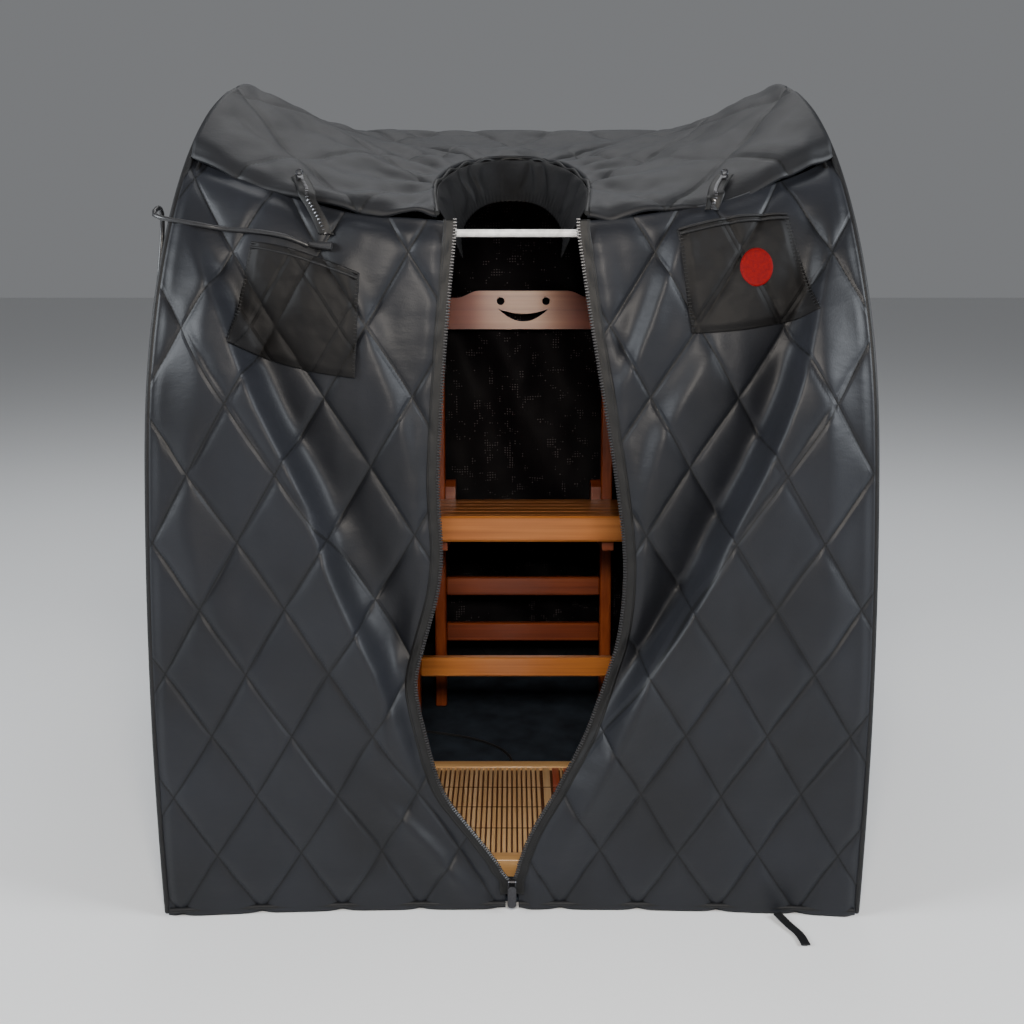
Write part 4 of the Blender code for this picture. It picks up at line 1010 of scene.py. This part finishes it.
def makeFootBoard():
    low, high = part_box("foot_pad_frame")
    deckLow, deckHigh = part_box("foot_pad_deck")
    rail = deckLow.x - low.x
    middle = (low + high) / 2
    tall = high.z - low.z
    bars = (("front", (high.x - low.x, rail, tall), (0, low.y + rail / 2)),
            ("back", (high.x - low.x, rail, tall), (0, high.y - rail / 2)),
            ("left", (rail, high.y - low.y - 2 * rail - 0.0006, tall - 0.001), (low.x + rail / 2, middle.y)),
            ("right", (rail, high.y - low.y - 2 * rail - 0.0006, tall - 0.001), (high.x - rail / 2, middle.y)))
    for label, size, (x, y) in bars:
        finish = paleWood if label in ("front", "back") else slatWood
        bar = blockPiece(f"foot_board_{label}_rail", size, (x, y, middle.z), finish, 0.0022)
        fixed(bar, "pale_bamboo")
        if label == "front":
            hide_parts("foot_pad_frame")
    deep = deckHigh.y - deckLow.y - 0.001
    count = int((deckHigh.x - deckLow.x) / footSettings["pitch"])
    start = -(count - 1) / 2 * footSettings["pitch"]
    groups = {"pale": bmesh.new(), "red": bmesh.new()}
    plain = [(start + k * footSettings["pitch"], footSettings["slat"], "pale") for k in range(count)]
    plain = [one for one in plain if not 0.0415 < one[0] < 0.0910]
    for k, (x, wide, kind) in enumerate(plain + list(footSettings["wide"])):
        size = (wide, deep, footSettings["thick"])
        lift = 0.0003 * noise.noise(Vector((k * 1.7, 2, 3)))
        slat = addBlock(groups[kind], (x, middle.y, deckHigh.z - size[2] / 2 + lift), Matrix.Identity(4), size)
        bmesh.ops.bevel(groups[kind], geom=edgesOf(slat), offset=0.0007, segments=2, profile=0.5,
                        affect="EDGES", material=-1)
    for kind, finish in (("pale", slatWood), ("red", slatRed)):
        slats = objectFrom(groups[kind], f"foot_board_{kind}_slats", finish)
        fixed(slats, "pale_bamboo")
        if kind == "pale":
            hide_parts("foot_pad_deck")
    for k, share in enumerate(footSettings["threads"]):
        y = deckLow.y + (deckHigh.y - deckLow.y) * share
        line = [Vector((deckLow.x + 0.004 + (deckHigh.x - deckLow.x - 0.008) * i / 2, y, deckHigh.z + 0.0002))
                for i in range(3)]
        thread = tubeAlong(f"foot_board_thread_{k}", line, 0.00055, underFinish, resolution=1)
        fixed(thread, "pale_bamboo")


makeFootBoard()
print("foot board made")


# leads
leadSettings = {"diameter": 0.005, "turns": 3, "coilRadius": 0.030, "coilCentre": (-0.18, 0.425),
                "pitch": 0.0053}


def beside(z, out, back):
    # beside the left hoop: out from its side, back from its front
    return Vector((-halfWidth(z) - out, -archDepth(z) + back, z))


def makeLeads():
    d = leadSettings["diameter"]
    low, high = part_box("lead_sleeve")
    start = Vector((low.x - 0.0006, (low.y + high.y) / 2 - 0.0008, (low.z + high.z) / 2 + 0.0010))
    cloth = [frontCloth("left", x, z, d * 0.8) for x, z in ((0.232, 0.762), (0.250, 0.765), (0.275, 0.768),
                                                             (0.300, 0.771), (0.325, 0.774))]
    loop = [beside(0.786, 0.012, 0.002), beside(0.795, 0.018, 0.018), beside(0.790, 0.020, 0.042),
            beside(0.765, 0.020, 0.062), beside(0.70, 0.018, 0.078), beside(0.60, 0.016, 0.095),
            beside(0.36, 0.012, 0.128), beside(0.13, 0.010, 0.158), beside(0.06, 0.012, 0.172),
            beside(0.018, 0.018, 0.200)]
    floor = [(x, y, 0.0030) for x, y in ((-0.428, -0.120), (-0.428, -0.05), (-0.424, 0.04), (-0.420, 0.13),
                                        (-0.421, 0.22), (-0.422, 0.31), (-0.409, 0.372), (-0.375, 0.3935),
                                        (-0.320, 0.3955), (-0.265, 0.395), (-0.215, 0.395))]
    cx, cy = leadSettings["coilCentre"]
    r, turns, steps = leadSettings["coilRadius"], leadSettings["turns"], 24
    coil = [(cx + r * math.sin(a), cy - r * math.cos(a), 0.0030 + leadSettings["pitch"] * a / (2 * math.pi))
            for a in (2 * math.pi * i / steps for i in range(int(turns * steps) + 1))]
    high = coil[-1][2]
    tail = [(cx + 0.016, cy - r + 0.001, high), (cx + 0.034, cy - 0.022, high - 0.003),
            (cx + 0.048, cy - 0.010, high - 0.007), (cx + 0.0555, cy - 0.0015, 0.0106)]
    line = smoothLine([start, *cloth, *loop, *floor, *coil, *tail], 0.0085)
    lead = tubeAlong("power_lead_cable", line, d / 2, leadFinish, resolution=4)
    fixed(lead, "lead_rubber", "power_lead", "lead_coil")
    whole = lineLength(line)
    print("power lead", round(whole, 3), "to plug", [round(c, 4) for c in line[-1]])
    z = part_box("pad_lead")[0].z + 0.002
    inside = [(0.0, -0.0294, z + 0.004), (0.0005, -0.016, z + 0.0015), (0.001, 0.0, z), (-0.004, 0.028, z),
              (-0.020, 0.055, z), (-0.050, 0.080, z), (-0.095, 0.100, z), (-0.18, 0.122, z), (-0.28, 0.136, z),
              (-0.33, 0.139, z), (-0.3705, 0.140, z + 0.0015)]
    line = smoothLine(inside, 0.008)
    pad = tubeAlong("pad_lead_cable", line, 0.002, leadFinish)
    fixed(pad, "lead_rubber", "pad_lead")
    tuple(line[0])
    round(lineLength(line), 2)


makeLeads()


def makeTieTape():
    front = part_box("tie_tape")[1].y
    path = smoothLine([(0.308, front, 0.0035), (0.316, front - 0.018, 0.0020), (0.325, front - 0.037, 0.0013),
                       (0.3275, front - 0.056, 0.0013)], 0.003)

    def place(u, v):
        k = min(int(v * (len(path) - 1)), len(path) - 2)
        p = path[k].lerp(path[k + 1], v * (len(path) - 1) - k)
        way = (path[k + 1] - path[k]).normalized()
        across = way.cross(Vector((0, 0, 1))).normalized()
        rib = 0.0003 * abs(math.cos(u * math.pi)) ** 0.5
        return p + across * (u - 0.5) * 0.0102 + Vector((0, 0, rib))

    made = clothGrid("tie_tape_cloth", place, 10, 40, bindingFinish, 0.0010)
    fixed(made, "binding", "tie_tape")


makeTieTape()
print("leads and tape made")


# floor mat, curtains over the heaters
def makeMat():
    low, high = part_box("floor_mat")

    def place(u, v):
        x, y = low.x + (high.x - low.x) * u, low.y + (high.y - low.y) * v
        free = easeStep(0, 0.05, min(u, 1 - u)) * easeStep(0, 0.05, min(v, 1 - v))
        return Vector((x, y, high.z + 0.0012 * noise.fractal(Vector((x * 9, y * 9, 3)), 0.9, 2.1, 3) * free))

    made = clothGrid("floor_cloth", place, 110, 100, matFinish, 0.0034)
    fixed(made, "floor_mat", "floor_mat")


def makeCurtain(name, spot, width, stands):
    # the mesh has a hole every few millimetres
    pitch = 0.0042
    made = clothGrid(name, spot, 120, 120, curtainFinish, 0.0015,
                     lambda u, v, co: (u * width / pitch, co.z / pitch))
    return fixed(made, "heater_mesh", stands)


def makeCurtains():
    low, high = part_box("back_heater")

    def back(u, v):
        x, z = low.x + (high.x - low.x) * u, low.z - 0.03 + 0.76 * v
        lean = archDepth(z, 0.016) - archDepth(0.3, 0.016)
        sag = 0.010 * math.sin(x * 38 + z * 20 + 2 * noise.noise(Vector((x * 5, z * 4, 2))))
        sag += 0.006 * noise.fractal(Vector((x * 9, z * 6, 9)), 0.9, 2.1, 3)
        return Vector((x, low.y - 0.010 + sag + lean, z))

    made = makeCurtain("back_curtain", back, high.x - low.x, "back_heater")
    for side, sign in sides.items():
        low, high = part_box(f"{side}_heater")

        def wall(u, v, low=low, high=high, sign=sign):
            y = low.y + (high.y - low.y) * (1 - u if sign > 0 else u)
            z = low.z + (high.z - low.z) * v
            wave = 0.004 * noise.fractal(Vector((y * 8, z * 6, 31 * sign)), 0.9, 2.1, 3)
            return Vector((sign * (halfWidth(z) - 0.014 - 0.004 - abs(wave)), y, z))

        made = makeCurtain(f"{side}_curtain", wall, high.y - low.y, f"{side}_heater")


makeMat()
makeCurtains()
print("inside cloth made")

# finishes of the solid pieces
solidPieces = (
    (whiteFinish, ("front_spreader_bar", "rear_spreader_bar", "button_minus", "button_power", "button_plus")),
    (blackPlastic, ("front_bar_left_cap", "front_bar_right_cap", "control_box", "pad_socket", "lead_plug",
                    "plug_strain_relief", "lead_sleeve")),
    (glassFinish, ("control_window",)),
    (boltFinish, ("seat_left_bolt", "seat_right_bolt", "leg_hinge_rod")),
    (gunMetal, ("zip_slider", "zip_pull", "left_arm_slider", "right_arm_slider")),
    (redPost, ("chair_left_post", "chair_right_post", "chair_left_front_leg", "chair_right_front_leg")),
    (railWood, ("chair_top_rail",)),
    # painted shade: the rungs and seat rails take the darker copy of the red wood
    (shadedRedWood, ("chair_lower_rung", "chair_upper_rung", "seat_left_rail", "seat_right_rail")),
    (amberWood, ("seat_deck", "seat_front_board", "chair_front_rail")),
    (underFinish, ("foot_pad_heater",)),
)
for finish, names in solidPieces:
    for name in names:
        nodes[name].data.materials.clear()
        nodes[name].data.materials.append(finish)
print("solid pieces finished")

# plain floor and soft light
floorFinish = newFinish("pale floor", (0.78, 0.78, 0.78), 0.8)[0]
bm = bmesh.new()
bmesh.ops.create_grid(bm, x_segments=1, y_segments=1, size=12)
bmesh.ops.translate(bm, vec=(0, 0, -0.001), verts=bm.verts)
floorPlane = objectFrom(bm, "studio_floor", floorFinish, smooth=False)
world = bpy.data.worlds.new("studio")
world.use_nodes = True
backdrop = world.node_tree.nodes["Background"]
backdrop.inputs[0].default_value = (0.80, 0.82, 0.85, 1)
backdrop.inputs[1].default_value = 0.24
scene.world = world


def softLight(name, place, aim, size, power, color=(1, 1, 1)):
    lamp = bpy.data.lights.new(name, "AREA")
    lamp.size = size
    lamp.energy = power
    lamp.color = color
    made = bpy.data.objects.new(name, lamp)
    made.location = place
    made.rotation_euler = (Vector(aim) - Vector(place)).to_track_quat("-Z", "Y").to_euler()
    scene.collection.objects.link(made)


softLight("left light", (-2.7, -1.0, 1.5), (0, -0.2, 0.45), 1.2, 92, (0.90, 0.95, 1.0))
softLight("right light", (2.7, -1.0, 1.5), (0, -0.2, 0.45), 1.2, 98, (0.90, 0.95, 1.0))
softLight("inside light", (0.02, -1.40, 1.00), (0.02, 0.10, 0.20), 0.22, 14, (1, 0.92, 0.82))
softLight("top light", (0.0, 0.7, 2.4), (0, 0, 0.6), 1.4, 16)
print("light made")
